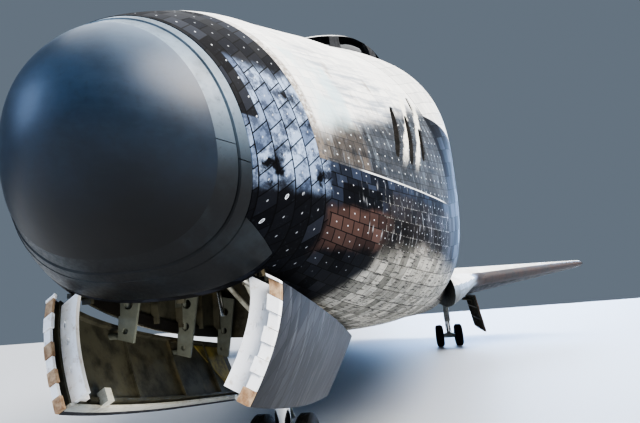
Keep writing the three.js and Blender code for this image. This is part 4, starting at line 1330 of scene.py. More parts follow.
def make_cap(sizes):
    """The dome, two ring seals with their segment joints, and the chin panel."""
    dome_edge, seal_joint = NOSE_TIP + sizes.dome_edge / INCH, NOSE_TIP + sizes.seal_joint / INCH
    dome = common(forward_body(), ahead_of(dome_edge))
    piece(dome, "nose_dome", "reinforced_carbon_satin", "nose_cap", body_uv)
    edges = (dome_edge, seal_joint, CAP_EDGE)
    for k, (inset, turn) in enumerate(((0.5, -10.0), (0.15, -15.7))):
        low, high = edges[k] + 0.16, edges[k + 1] - (0.0 if k else 0.16)
        ring = cut(common(body_loft([*NOSE_STATIONS, 300], inset, 32), ahead_of(high)), ahead_of(low))
        slots = []
        for angle in (math.radians(turn), math.radians(180 - turn), math.radians(90)):
            p, h = 60 * math.cos(angle), 60 * math.sin(angle)
            q, v = 0.09 * math.sin(angle), -0.09 * math.cos(angle)
            slots.append(loft([
                [(a * p + b * q, s, 336 + a * h + b * v) for a, b in ((0, -1), (1, -1), (1, 1), (0, 1))]
                for s in (240, 270)
            ]))
        piece(cut(ring, *slots), f"nose_ring_seal_{k + 1}", "reinforced_carbon_ring", "nose_cap", body_uv)
    chin = cut(common(forward_body(), cap_cutter(0)), ahead_of(CAP_EDGE + 0.15))
    piece(chin, "chin_panel", "reinforced_carbon_ring", "nose_cap", body_uv)


def make_module():
    """The removable thruster module on top of the nose, with its thruster mouths and liners."""
    shell = cut(common(forward_body(), module_cutter(-GAP)), module_core(0))
    liners = []
    for _, side in SIDES:
        for thruster in SIDE_THRUSTERS:
            shell = cut(shell, mouth(thruster, side))
            liners.append(cut(mouth(thruster, side, -0.05), mouth(thruster, side, -0.5)))
    for port in (-14.5, 0, 14.5):
        for foot, end, near, far in (
            ((port, 352, 402), (port, 350, 436), 4, 6), ((port, 326, 391), (port, 298, 399), 4, 5),
        ):
            shell = cut(shell, bar(foot, end, near, 32, far))
            liners.append(cut(bar(foot, end, near - 0.05, 32, far - 0.05),
                              bar(foot, end, near - 0.5, 32, far - 0.5)))
    piece(shell, "thruster_module_skin", "scorched_white_tile", "forward_rcs_module", body_uv)
    inside = body_loft([*NOSE_STATIONS, *CHEEK_STATIONS[:16]], 0.5, 24)
    piece(common(heap(*liners), inside), "thruster_liners", "sooted_niobium")


def forward_shell():
    return join(forward_body(), canopy_loft(0, 581.9))


def make_skin():
    """The tiled shell of the forward fuselage, with its canopy, window surrounds and well."""
    shell = cut(
        forward_shell(), cap_cutter(GAP), cut(module_cutter(0), module_core(GAP)), cabin_void(),
        *window_slabs(), hatch_plug(CLEAR),
        box((WELL_FROM, WELL_TO), (-WELL_HALF, WELL_HALF), (240, WELL_ROOF)),
        *window_slabs(3.0, -9, 18, PANES),
    )

    def kind(centre, normal):
        """0 outside, 1 in the cabin, 2 in the nose gear well."""
        made = np.zeros(len(centre), int)
        inward = ((np.array([0, 490, 400]) - centre) * normal).sum(1) > 0
        p, s, h = centre.T
        made[inward & (s > 403) & (s < 575) & (h > 318) & (h < 504) & (abs(p) < 97)] = 1
        made[(s > 273.5) & (s < 388.5) & (abs(p) <= WELL_HALF + 0.1) & (h < WELL_ROOF + 0.1)
             & (abs(normal).max(1) > 0.999) & (normal[:, 2] < 0.01)] = 2
        return made

    sort_faces(shell, kind)
    piece(shell, "forward_skin", ["scorched_black_tile", "grey_green_enamel", "well_primer"],
          "forward_fuselage", body_uv)
    brow = join(*window_slabs(2.95, -9, 18, PANES))
    brow = cut(common(forward_shell(), brow), cabin_void(), *window_slabs())
    piece(brow, "window_surrounds", "black_carrier_panel", "forward_fuselage", body_uv)


def make_windows():
    """Glass behind the panes, and the dark gaskets round them."""
    start = CANOPY_WALL + GAP
    region = join(box((438, 512), (-90, 90), (436, 520)), box((505, 548), (-29, 29), (480, 520)))
    glass = common(cut(canopy_loft(start, 574), canopy_loft(start + 1.4, 574)), region)
    piece(glass, "window_glass", "dark_window_glass", "windshield")
    rims = [cut(a, b) for a, b in zip(window_slabs(0.9, -6, 12), window_slabs(-0.25, -9, 18))]
    rims = cut(common(heap(*rims), canopy_loft(-0.25, 574)), canopy_loft(CANOPY_WALL - 0.1, 574))
    piece(rims, "window_gaskets", "black_carrier_panel")


def make_hatch():
    """The round side hatch, with its small window."""
    shell = cut(common(forward_body(), hatch_plug(0)), body_loft([432, 470, 508, 545], CABIN_WALL, 16))
    middle = (0, HATCH_STATION, HATCH_HEIGHT + 3)
    shell = cut(shell, bar((100.5, *middle[1:]), (112, *middle[1:]), 5.6, 48))
    piece(shell, "crew_hatch_skin", "side_white_tile", "crew_hatch", body_uv, body="crew_hatch")
    pane = bar((100.4, *middle[1:]), (101.6, *middle[1:]), 5.3, 48)
    piece(pane, "crew_hatch_window", "dark_window_glass", body="crew_hatch")
    rim = turned([(4.4, 0), (5.5, 0), (5.5, 1.9), (5.0, 2.1), (4.4, 1.7)], (100.6, *middle[1:]), (1, 0, 0),
                 48)
    bolts = repeated(upright(0, 0, 0, 0.35, 0.22, 6), 12, radius=4.9)
    placed(bolts, (102.6, *middle[1:]), (1, 0, 0))
    piece([rim, bolts], "crew_hatch_window_rim", "bare_alloy", body="crew_hatch")


# Mid fuselage
SILL, BAY_AXIS, BAY_RADIUS = 414, 400, 93
DOOR_THICK, DOOR_LOW, HINGE_PORT, HINGE_HEIGHT = 5, 416.5, 108.5, 421
BAY_STATIONS = list(np.linspace(582.1, 1306.9, 13))


def bay_cylinder(start, end, radius):
    return bar((0, start, BAY_AXIS), (0, end, BAY_AXIS), radius, 96)


def make_bay():
    """The trough of the load bay, its frames, sills and liner."""
    trough = common(body_loft(BAY_STATIONS, 0, 32), box((500, 1400), (-150, 150), (200, SILL)))
    trough = cut(trough, bay_cylinder(560, 1330, BAY_RADIUS), box((560, 1330), (-93, 93), (400, 450)))

    def kind(centre, normal):
        across = np.hypot(centre[:, 0], centre[:, 2] - BAY_AXIS)
        return np.where(across < BAY_RADIUS + 3, 1, 0)

    sort_faces(trough, kind)
    piece(trough, "mid_skin", ["side_white_tile", "bay_liner_cloth"], "mid_fuselage", body_uv)
    hoop = turned([(88.5, 0), (92.8, 0), (92.8, 0.5), (90, 0.5), (90, 2.6), (92.8, 2.6), (92.8, 3.2),
                   (88.5, 3.2)],
                  (0, 610, BAY_AXIS), (0, 1, 0), 96)
    hoop = common(hoop, box((600, 620), (-100, 100), (300, 408)))
    hoops = repeated(hoop, 12, step=(0, 58.5, 0))
    piece(hoops, "bay_frames", "bare_alloy")
    rails = []
    for _, side in SIDES:
        rails.append(box((584, 1305), (side * 88.6, side * 92.9), (404, 410)))
        rails.append(box((584, 1305), (side * 93.4, side * 103), (SILL + 0.1, SILL + 1.4)))
    piece(rails, "bay_longerons", "bare_alloy")


def make_bay_doors():
    """Two clamshell doors with panel joints, hinge knuckles, frames and radiators inside."""
    start, end = CABIN_END + CLEAR, BAY_END - CLEAR
    joints = np.linspace(start, end, 6)[1:-1]
    skin = cut(body_loft([start, *joints, end], 0, 48), body_loft([start - 5, end + 5], DOOR_THICK, 48))
    for joint in joints:
        groove = cut(body_loft([joint - 0.25, joint + 0.25], -1, 48),
                     body_loft([joint - 1, joint + 1], 0.45, 48))
        skin = cut(skin, groove)
    for name, side in SIDES:
        low, high = (CLEAR / 2, 150) if side > 0 else (-150, -CLEAR / 2)
        half = common(linked("half", skin.data.copy()), box((500, 1400), (low, high), (DOOR_LOW, 550)))

        def kind(centre, normal):
            middle = np.array([0, 0, 400.0])
            out = ((centre - middle) * normal * np.array([1, 0, 1])).sum(1) > 20
            return np.where(out, 0, 1)

        sort_faces(half, kind)
        body = f"bay_door_{name}"
        piece(half, f"bay_door_skin_{name}", ["quilted_silica_blanket", "bay_liner_cloth"], body, body_uv,
              body=body)
        step = (end - start - 24) / 12
        knuckle = box((start + 9, start + 15), (side * 104, side * (HINGE_PORT + 1.6)),
                      (HINGE_HEIGHT - 1.6, HINGE_HEIGHT + 1.6))
        pin = bar((side * HINGE_PORT, start + 8, HINGE_HEIGHT),
                  (side * HINGE_PORT, start + 16, HINGE_HEIGHT),
                  0.9, 16)
        knuckles = repeated(heap(knuckle, pin), 13, step=(0, step, 0))
        piece(knuckles, f"bay_door_hinges_{name}", "bare_alloy", body=body)
        ribs = cut(body_loft([start + 2, start + 5], DOOR_THICK - 0.05, 32),
                   body_loft([start + 1, start + 6], DOOR_THICK + 2.2, 32))
        ribs = common(ribs, box((500, 1400), (side * 1.5, side * 100), (DOOR_LOW + 3, 550)))
        ribs = repeated(ribs, 16, step=(0, (end - start - 7) / 15, 0))
        piece(ribs, f"bay_door_frames_{name}", "bare_alloy", body=body)
        panels = []
        for k in range(4):
            s0, s1 = joints[0] - 140 + k * 118, joints[0] - 140 + k * 118 + 115
            shell = cut(body_loft([s0, s1], DOOR_THICK + 2.4, 32),
                        body_loft([s0 - 1, s1 + 1], DOOR_THICK + 3.6, 32))
            panels.append(common(shell, box((500, 1400), (side * 10, side * 94), (DOOR_LOW + 14, 550))))
        piece(panels, f"bay_radiators_{name}", "radiator_silver_film", uv=body_uv, body=body)
    drop(skin)


# Tail of the fuselage
AFT_STATIONS = [1307.1, 1325, *np.arange(1345, 1519, 15), 1519.9]
FLAP_HINGE, FLAP_HEIGHT, FLAP_RADIUS, FLAP_HALF, FLAP_END = 1532, 287, 7, 130, 1613
# name, port, station, height, pitch, yaw
ENGINES = [
    ("main_engine_upper", 0, 1445, 443, 16, 0),
    ("main_engine_port", 53, 1468.2, 342.6, 10, 3.5),
    ("main_engine_starboard", -53, 1468.2, 342.6, 10, -3.5),
]
BELL = [(40, 9), (48, 13.8), (56, 18), (66, 22.4), (76, 26), (90, 30.7), (104, 34.6), (117, 38), (130, 40.8),
        (157, 45.4)]
BELL_WALL = 1.6


def engine_way(pitch, yaw):
    up, out = math.radians(pitch), math.radians(yaw)
    return (math.cos(up) * math.sin(out), math.cos(up) * math.cos(out), math.sin(up))


def flap_cove(radius):
    return crossbar(-150, 150, FLAP_HINGE, FLAP_HEIGHT, radius, 64)


def make_tail():
    """The aft fuselage, the base shield round the engines, and the body flap."""
    shell = cut(body_loft(AFT_STATIONS, 0, 32), body_loft([1313, 1360, 1430, 1525], 7, 12))

    def kind(centre, normal):
        return np.where(centre[:, 2] < 281, 1, 0)

    sort_faces(shell, kind)
    piece(shell, "aft_skin", ["side_white_tile", "black_ceramic_tile"], "aft_fuselage", body_uv)

    shield = body_loft([1520.1, BASE], 0, 32)
    for _, port, station, height, pitch, yaw in ENGINES:
        upper = port == 0
        far, outer, end = (102, 41, 38) if upper else (78, 43, 30)
        begin = 66 if upper else 38
        foot, way = (port, station, height), engine_way(pitch, yaw)
        dome = turned([(0, begin), (outer, begin), (outer, far - 18), (outer - 0.8, far - 14),
                       (outer - 3, far - 9), (end, far), (0, far)], foot, way, 64)
        dome = common(dome, box((1521, 1700), (-200, 200), (200, 600)))
        hole = turned([(0, 30), (outer - 4, 30), (outer - 4, far - 18), (end - 3, far - 3),
                       (end - 3, far + 10), (0, far + 10)], foot, way, 64)
        shield = cut(join(shield, dome), hole)
    shield = cut(shield, flap_cove(FLAP_RADIUS + CLEAR), box((1526.5, 1560), (-150, 150), (250, 300)))
    piece(shield, "base_shield_skin", "base_black_tile", "base_heat_shield", face_uv)
    collars = []
    for _, port, station, height, pitch, yaw in ENGINES:
        upper = port == 0
        far, end = (102, 38) if upper else (78, 30)
        collars.append(turned([(end - 2.9, far - 3.5), (end + 0.6, far - 0.5), (end + 0.6, far + 0.8),
                               (end - 1.2, far + 1.0), (end - 2.9, far)], (port, station, height),
                               engine_way(pitch, yaw), 64))
    piece(collars, "engine_shield_rings", "engine_steel")

    low = FLAP_HEIGHT - FLAP_RADIUS
    flap = prism([(FLAP_HINGE, low), (FLAP_END, low + 1), (FLAP_END + 0.5, low + 2), (FLAP_END, low + 3),
                  (FLAP_HINGE, FLAP_HEIGHT + FLAP_RADIUS)], -FLAP_HALF, 0, FLAP_HALF)
    flap = join(flap, crossbar(-FLAP_HALF, FLAP_HALF, FLAP_HINGE, FLAP_HEIGHT, FLAP_RADIUS, 64))
    piece(flap, "body_flap_skin", "black_ceramic_tile", "body_flap", plan_uv, body="body_flap")


def make_engines(sizes):
    """Three main engines: bell, tube ribs, bands, powerhead and pipes."""
    for name, port, station, height, pitch, yaw in ENGINES:
        foot, way = (port, station, height), engine_way(pitch, yaw)
        fine = np.linspace(BELL[0][0], BELL[-1][0], 28)
        radii = through([b[0] for b in BELL], [b[1] for b in BELL], fine)
        inner = [(r - BELL_WALL, a) for a, r in zip(fine, radii)][1:][::-1]
        profile = [(0, -9), (18, -9), (23, 0), (23, 30), *[(r, a) for a, r in zip(fine, radii)],
                   (radii[-1] + 0.5, fine[-1]), *inner, (4.5, 39), (0, 39)]
        profile[-len(inner) - 3] = (radii[-1] - 0.2, fine[-1])
        bell = turned(profile, foot, way, 96)
        tube = []
        for along, radius in zip(fine[5:-1:2], radii[5:-1:2]):
            width = math.pi * radius / sizes.bell_tubes * 0.8
            tube.append([(radius - 0.05, -width, along), (radius + 0.32, 0, along),
                         (radius - 0.05, width, along)])
        tubes = placed(repeated(loft(tube), sizes.bell_tubes, radius=0.0), foot, way)
        bands = []
        for along in (72, 88, 103, 117, 130, 142, 152.5):
            r = float(through([b[0] for b in BELL], [b[1] for b in BELL], along))
            bands.append(turned([(r - 0.1, along - 1.1), (r + 1.0, along - 0.9), (r + 1.0, along + 0.9),
                                 (r + 0.4, along + 1.1)],
                                foot, way, 72))
        pipes = []
        turn = Vector(way).normalized().to_track_quat("Z", "Y").to_matrix()
        for k in range(6):
            angle = k * math.pi / 3 + 0.3
            route = [(24.5, -4), (26.5, 12), (24, 28), (15.5, 44), (12.5, 47)]
            points = [np.array(foot) + np.array(turn @ Vector((r * math.cos(angle + 0.1 * i),
                                                               r * math.sin(angle + 0.1 * i), a)))
                      for i, (r, a) in enumerate(route)]
            pipes.append(tube_along(points, 1.7 if k % 2 else 1.1, 12))
        piece([bell, tubes, *bands, *pipes], f"{name}_assembly", "engine_steel", name)


def tube_along(points, radius, sides=12):
    """A round tube along a smooth path through points."""
    points = np.asarray(points, float)
    steps = reach(points)
    fine = np.linspace(0, steps[-1], 6 * (len(points) - 1) + 1)
    path = np.stack([through(steps, points[:, k], fine) for k in range(3)], 1)
    rings = []
    across = None
    for i, here in enumerate(path):
        way = path[min(i + 1, len(path) - 1)] - path[max(i - 1, 0)]
        way /= np.linalg.norm(way)
        if across is None:
            across = np.cross(way, (0, 0, 1) if abs(way[2]) < 0.9 else (1, 0, 0))
        across = across - way * (across @ way)
        across /= np.linalg.norm(across)
        up = np.cross(way, across)
        angle = np.linspace(0, 2 * math.pi, sides + 1)[:-1]
        rings.append(here + radius * (np.outer(np.cos(angle), across) + np.outer(np.sin(angle), up)))
    return loft(rings)


POD_ROWS = np.array([
    (1311, 66, 474, 3, 3), (1318, 67, 474, 15, 13), (1332, 70, 475, 26, 22), (1360, 75, 478, 38, 32),
    (1400, 80, 481, 47, 40), (1440, 83, 484, 51, 44), (1480, 85, 486, 52, 45), (1520, 87, 487, 51, 44),
    (1545, 88, 487, 47, 40),
], float)
OMS_STATION, OMS_PORT, OMS_HEIGHT, OMS_PITCH, OMS_YAW, OMS_LENGTH = 1518, 88, 490, 15.8, 12.3, 74


def make_pods():
    """The orbital-engine pods on the shoulders, their thruster mouths and nozzles."""
    stations = [1311, 1313, 1317, 1323, 1330, 1340, 1355, 1375, 1395, 1420, 1440, 1480, 1520, 1545]
    for name, side in SIDES:
        rings = []
        angle = np.linspace(0, 2 * math.pi, 65)[:-1]
        for station in stations:
            port, height, width, tall = (float(through(POD_ROWS[:, 0], POD_ROWS[:, k], station))
                                         for k in range(1, 5))
            rings.append(np.column_stack([
                side * (port + width * power(np.cos(angle), 0.85)), np.full(64, station),
                height + tall * power(np.sin(angle), 0.85),
            ]))
        way = engine_way(OMS_PITCH, side * OMS_YAW)
        gimbal = (side * OMS_PORT, OMS_STATION, OMS_HEIGHT)
        socket_hole = turned([(0, -14), (14, -14), (20, 20), (32, 60), (0, 60)], gimbal, way, 48)
        stub = box((1500, 1566), (side * 96, side * 128), (456, 480))
        mouths = []
        for k in range(3):
            s = 1520 + k * 14
            mouths.append(crossbar(side * 112, side * 150, s, 466, 3.4, 24, 4.6))
            mouths.append(bar((side * (102 + k * 9), 1559, 468), (side * (102 + k * 9), 1580, 468), 3.0, 24,
                              3.8))
        pod = cut(join(loft(rings), stub), body_loft([*AFT_STATIONS, BASE + GAP], -GAP, 32), socket_hole,
                  *mouths)
        pod = loose_largest(pod)

        def kind(centre, normal):
            return np.where((centre[:, 1] > 1546) | (centre[:, 1] < 1326), 1, 0)

        sort_faces(pod, kind)
        piece(pod, f"oms_pod_skin_{name}", ["quilted_silica_blanket", "base_black_tile"], f"oms_pod_{name}",
              side_uv)
        profile = [(0, -13.8), (8, -13.8), (8, 6), (7, 12), (10.5, 19), (15.5, 30), (19.6, 45), (22.4, 60),
                   (24.5, OMS_LENGTH),
                   (23.9, OMS_LENGTH), (21.6, 60), (18.7, 45), (14.3, 30), (9, 20), (4, 12), (0, 12)]
        bell = turned(profile, gimbal, way, 64)
        bands = []
        for along, r in ((30, 15.5), (45, 19.6), (60, 22.4)):
            bands.append(turned([(r - 0.3, along - 0.9), (r + 0.7, along - 0.8), (r + 0.7, along + 0.8),
                                 (r - 0.3, along + 0.9)],
                                gimbal, way, 64))
        piece([bell, *bands], f"oms_nozzle_bell_{name}", "sooted_niobium", f"oms_nozzle_{name}")


# Wings
KEEL = 267.2
DIHEDRAL = math.radians(3.5)
WING_TIP, ELEVON_HINGE = 468.3, 1387
EDGE_STATIONS = [470, 500, 540, 580, 980, 1005, 1024, 1045, 1304.3, 1450]
EDGE_PORTS = [92, 101, 109, 116.8, 181, 185.8, 192, 209, WING_TIP, WING_TIP]
GEAR_STATION, GEAR_PORT, GEAR_RADIUS, GEAR_WIDTH, GEAR_SPACING = 1172, 136, 22.25, 15.5, 39
BAY_FROM, BAY_TO, BAY_INNER, BAY_OUTER, BAY_ROOF = 1062, 1196, 100, 168, 311


def wing_plane(port):
    return 282 + port * math.tan(DIHEDRAL)


def wing_trailing(port):
    return 1525.2 - 0.1775 * port


def wing_half(station, port):
    front = 836 + port
    chord = wing_trailing(port) - front
    ratio = 0.113 + 0.007 * port / WING_TIP
    f = np.clip((station - front) / chord, 0, 1)
    main = 5 * ratio * chord * (0.2969 * np.sqrt(f) - 0.126 * f - 0.3516 * f**2 + 0.2843 * f**3
                                - 0.1036 * f**4)
    edge = np.interp(min(station, 1040), EDGE_STATIONS, EDGE_PORTS)
    depth = np.clip((edge - port) / 36, 0, 1)
    strake = np.where(port < 200, 16 * np.sqrt(1 - (1 - depth) ** 2), 0)
    return np.maximum(0.7, (np.maximum(main, 0) ** 6 + strake**6) ** (1 / 6))


def wing_ring(station, side, inner=84, steps=26):
    edge = np.interp(station, EDGE_STATIONS, EDGE_PORTS)
    port = inner + (edge - inner) * np.sin(np.linspace(0, math.pi / 2, steps + 1))
    half = wing_half(station, port)
    low = np.column_stack([side * port, np.full(steps + 1, station),
                           np.maximum(KEEL, wing_plane(port) - half)])
    high = np.column_stack([side * port, np.full(steps + 1, station), wing_plane(port) + half])
    return np.concatenate([low, high[::-1]])


def hinge_radius(port):
    return 14.3 - (port - 120) * 0.023


def hinge_bar(side, inner, outer, grow, sides=48):
    return bar((side * inner, ELEVON_HINGE, wing_plane(inner)),
               (side * outer, ELEVON_HINGE, wing_plane(outer)), hinge_radius(inner) + grow, sides,
               hinge_radius(outer) + grow)


def plan_cutter(side, corners, low=200, high=400):
    return loft([[(side * p, s, h) for s, p in corners] for h in (low, high)])


def edge_inner(grow):
    return [(1318 + grow * 1.4, WING_TIP - 2.5), (1051 + grow * 1.4, 203),
            (1024 + grow, 181 - grow), (930 - grow, 162 - grow)]


def wing_panel(side):
    stations = [472, 485, 500, 520, 540, 570, 600, 680, 760, 845, 930, 960, 980, 990, 1000, 1012, 1021, 1030,
                1040, 1050,
                *range(1062, 1304, 12), 1304.3, 1325, 1345, 1370, 1392]
    whole = loft([wing_ring(s, side) for s in stations])
    whole = cut(whole, body_loft([*CHEEK_STATIONS[-8:], 600, 900, 1300, *AFT_STATIONS], -GAP, 24),
                box((400, 1500), (-96, 96), (200, 400)))

    def lip(port):
        front = ELEVON_HINGE - 0.64 * hinge_radius(port)
        return [(side * port, front, 220), (side * port, 1460, 220), (side * port, 1460, 380),
                (side * port, front, 380)]
    whole = cut(whole, loft([lip(90), lip(480)]), hinge_bar(side, 90, 480, CLEAR),
                box((BAY_FROM, BAY_TO), (side * BAY_INNER, side * BAY_OUTER), (220, BAY_ROOF)))
    return loose_largest(whole)


def make_wings():
    """Both wings with their gear bays."""
    for name, side in SIDES:
        gap_corners = [(930 - GAP, 240), (1300, 700), (1318, 700), *edge_inner(GAP)]
        skin = loose_largest(cut(wing_panel(side), plan_cutter(side, gap_corners)))

        def kind(centre, normal):
            made = np.where(normal[:, 2] > 0.12, 1, 0)
            p, s, h = centre.T
            inside = ((s > BAY_FROM - 0.2) & (s < BAY_TO + 0.2)
                      & (abs(p) > BAY_INNER - 0.2) & (abs(p) < BAY_OUTER + 0.2))
            made[inside & (h < BAY_ROOF + 0.2) & ((normal[:, 2] > -0.3) | (h > BAY_ROOF - 1))
                 & (h > 255)] = 2
            belly = inside & (normal[:, 2] < -0.9) & (h < BAY_ROOF - 5)
            made[belly] = 0
            made[(s < 1010) & (normal[:, 2] < 0.55)] = 3
            return made

        sort_faces(skin, kind)
        piece(skin, f"wing_skin_{name}",
              ["black_ceramic_tile", "wing_white_blanket", "well_primer", "ash_grey_tile"], f"wing_{name}",
              plan_uv)


def make_edges(sizes):
    """The reinforced carbon panels of each wing's leading edge."""
    for name, side in SIDES:
        corners = [(930, 240), (1400, 700), (1400, WING_TIP - 2.5), *edge_inner(0)]
        whole = loose_largest(common(wing_panel(side), plan_cutter(side, corners)))
        count = sizes.edge_panels
        outer = [(950 + 372 * t, 170 + 310 * t) for t in np.linspace(0, 1, count + 1)]
        panels = []
        for k in range(count):
            bits = []
            for (s, p), shift in ((outer[k], 0.14), (outer[k + 1], -0.14)):
                away = np.array([-70, 55]) if k else np.array([-70, 40])
                bits.append([(s + shift + away[0], p + away[1]),
                             (s + shift - 1.2 * away[0], p - 1.2 * away[1])])
            if k == 0:
                bits[0] = [(900, 240), (900, 100)]
            if k == count - 1:
                bits[1] = [(1420, 560), (1420, 420)]
            ring = [bits[0][0], bits[0][1], bits[1][1], bits[1][0]]
            panels.append(common(linked("panel", whole.data.copy()), plan_cutter(side, ring)))
        drop(whole)
        piece(panels, f"wing_edge_panels_{name}", "reinforced_carbon_edge", f"wing_leading_edge_{name}",
              plan_uv)


def make_elevons():
    """Inboard and outboard elevons, each with its rounded hinge nose."""
    for name, side in SIDES:
        for where, inner, outer, flare in (("inboard", 120, 312.5, 18), ("outboard", 318.5, 466.5, 0)):
            rings = []
            for port in np.linspace(inner, outer, 9):
                stations = np.array([1387, 1391, 1396, 1405, 1418, 1430, 1445, 1460, 1480, 1500,
                                     wing_trailing(port) - 3])
                stations = stations[stations <= wing_trailing(port) - 3]
                stations = np.interp(np.linspace(0, 1, 11), np.linspace(0, 1, len(stations)), stations)
                t = (stations - 1387) / 140
                there = port + (flare * t * (outer - port) / (outer - inner) if flare else 0)
                half = wing_half_many(stations, there)
                half[0] = hinge_radius(there[0] if flare else port)
                half[-1] = 0.6
                there = there * np.ones(11)
                low = np.column_stack([side * there, stations, np.maximum(KEEL, wing_plane(there) - half)])
                high = np.column_stack([side * there, stations, wing_plane(there) + half])
                rings.append(np.concatenate([low, high[::-1]]))
            skin = join(loft(rings), hinge_bar(side, inner, outer, 0))
            sort_faces(skin, top_and_belly)
            node_name = f"elevon_{where}_{name}"
            piece(skin, f"elevon_skin_{where}_{name}", ["black_ceramic_tile", "elevon_grey_white"],
                  node_name, plan_uv, body=node_name)


def wing_half_many(stations, ports):
    return np.array([float(wing_half(s, np.array(p))) for s,
                     p in zip(stations, np.broadcast_to(ports, stations.shape))])


# Fin
RUDDER_LOW, RUDDER_SLOPE, RUDDER_FOOT = 614.7, 0.696, 1511.3


def fin_front(height):
    return 1277.9 + (height - FIN_ROOT)


def fin_trailing(height):
    return 1546.4 + (height - FIN_ROOT) * math.tan(math.radians(26.25))


def rudder_hinge(height):
    return RUDDER_FOOT + (height - RUDDER_LOW) * RUDDER_SLOPE


def fin_half(station, height):
    front, end = fin_front(height), fin_trailing(height)
    u = min(1, max(0, (station - front) / (end - front)))
    most = 13.5 - 7.5 * (height - FIN_ROOT) / (FIN_TIP - FIN_ROOT)
    shape = (u / 0.55) ** 0.6 if u < 0.55 else 1 - 0.9 * (u - 0.55) / 0.45
    return max(0.5, most * shape)


def fin_ring(height):
    front, end = fin_front(height), fin_trailing(height)
    port, starboard = [], []
    for u in (0, 0.004, 0.015, 0.03, 0.05, 0.08, 0.12, 0.18, 0.25, 0.32, 0.4, 0.48, 0.55, 0.7, 0.85, 1):
        station = front + u * (end - front)
        half = fin_half(station, height)
        port.append((half, station, height))
        starboard.insert(0, (-half, station, height))
    return port + starboard


def rudder_bar(grow, low, high):
    return bar((0, rudder_hinge(low), low), (0, rudder_hinge(high), high),
               fin_half(rudder_hinge(low), low) + grow, 48, fin_half(rudder_hinge(high), high) + grow)


def rudder_cutter(ahead, low, high):
    def ring(height):
        front = rudder_hinge(height) - ahead * fin_half(rudder_hinge(height), height)
        return [(-60, front, height), (-60, front + 400, height), (60, front + 400, height),
                (60, front, height)]
    return loft([ring(low), ring(high)])


def make_fin():
    """The fin with its tip and fairing, and the two rudder halves that split."""
    def whole():
        return loft([fin_ring(h) for h in (FIN_ROOT - 8, 530, 560, 600, 640, 690, 740, 790, FIN_TIP)])
    fairing = bar((0, 1490, 542), (0, 1563, 548), 21, 40, 18)
    skin = cut(whole(), rudder_cutter(0.95, RUDDER_LOW - 1, 900),
               rudder_bar(CLEAR + 0.25, RUDDER_LOW - 1, 850))
    skin = cut(join(skin, fairing), body_loft([*AFT_STATIONS, BASE + GAP], -GAP, 32),
               box((1200, 1310.5), (-60, 60), (400, 900)), box((1527, 1600), (-60, 60), (400, 522)))
    skin = loose_largest(skin)

    def kind(centre, normal):
        lead = centre[:, 1] - (1277.9 + centre[:, 2] - FIN_ROOT)
        return np.where((lead < 9) | ((centre[:, 1] > 1555) & (centre[:, 2] < 600)), 1, 0)

    sort_faces(skin, kind)
    piece(skin, "fin_skin", ["fin_white_blanket", "base_black_tile"], "fin", side_uv)

    for name, side in SIDES:
        def ring(height):
            hinge = rudder_hinge(height)
            return [(-side * 3, hinge + 0.25, height), (side * 0.4, hinge + 0.25, height),
                    (side * 40 * math.cos(math.pi / 6), hinge - 20, height), (side * 30, hinge - 60, height),
                    (-side * 3, hinge - 60, height)]
        blade = common(whole(), rudder_cutter(0, RUDDER_LOW, FIN_TIP - 0.5))
        nose = common(rudder_bar(0, RUDDER_LOW, FIN_TIP - 0.5),
                      box((1400, 1800), (-60, 60), (RUDDER_LOW, FIN_TIP - 0.5)))
        low, high = (0.25, 60) if side > 0 else (-60, -0.25)
        half = common(join(blade, nose), box((1400, 1800), (low, high), (500, 900)))
        half = cut(half, loft([ring(RUDDER_LOW - 5), ring(FIN_TIP + 5)]))

        def kind(centre, normal):
            return np.where(abs(normal[:, 0]) > 0.97, np.where(centre[:, 0] * side < 0.4, 1, 0), 1)

        sort_faces(half, kind)
        body = f"rudder_panel_{name}"
        piece(half, f"rudder_skin_{name}", ["fin_white_blanket", "base_black_tile"], body, side_uv,
              body=body)


# Landing gear
def axle_height(station, radius):
    return floor_under(station) + radius / math.cos(PITCH)


def tyre(station, port, height, radius, width, grooves):
    """A low-profile aircraft tyre with straight grooves round its tread."""
    half, rim = width / 2, radius * 0.52
    shape = [(rim, -0.8), (radius * 0.6, -0.93), (radius * 0.69, -0.99), (radius * 0.78, -1.0),
             (radius * 0.87, -0.93),
             (radius * 0.935, -0.79), (radius * 0.975, -0.6)]
    side = [(r, w * half) for r, w in shape]
    tread = []
    spread = 0.5 * half
    for k in range(grooves):
        centre = -spread + 2 * spread * k / (grooves - 1)
        crown = radius - 0.012 * radius * (centre / half) ** 2
        deep = radius * 0.022
        tread += [(crown, centre - 0.32), (crown - deep, centre - 0.2), (crown - deep, centre + 0.2),
                  (crown, centre + 0.32)]
    profile = [*side, *tread, *[(r, -w) for r, w in side[::-1]], side[0]]
    return turned(profile[:-1], (port, station, height), (1, 0, 0), 96)


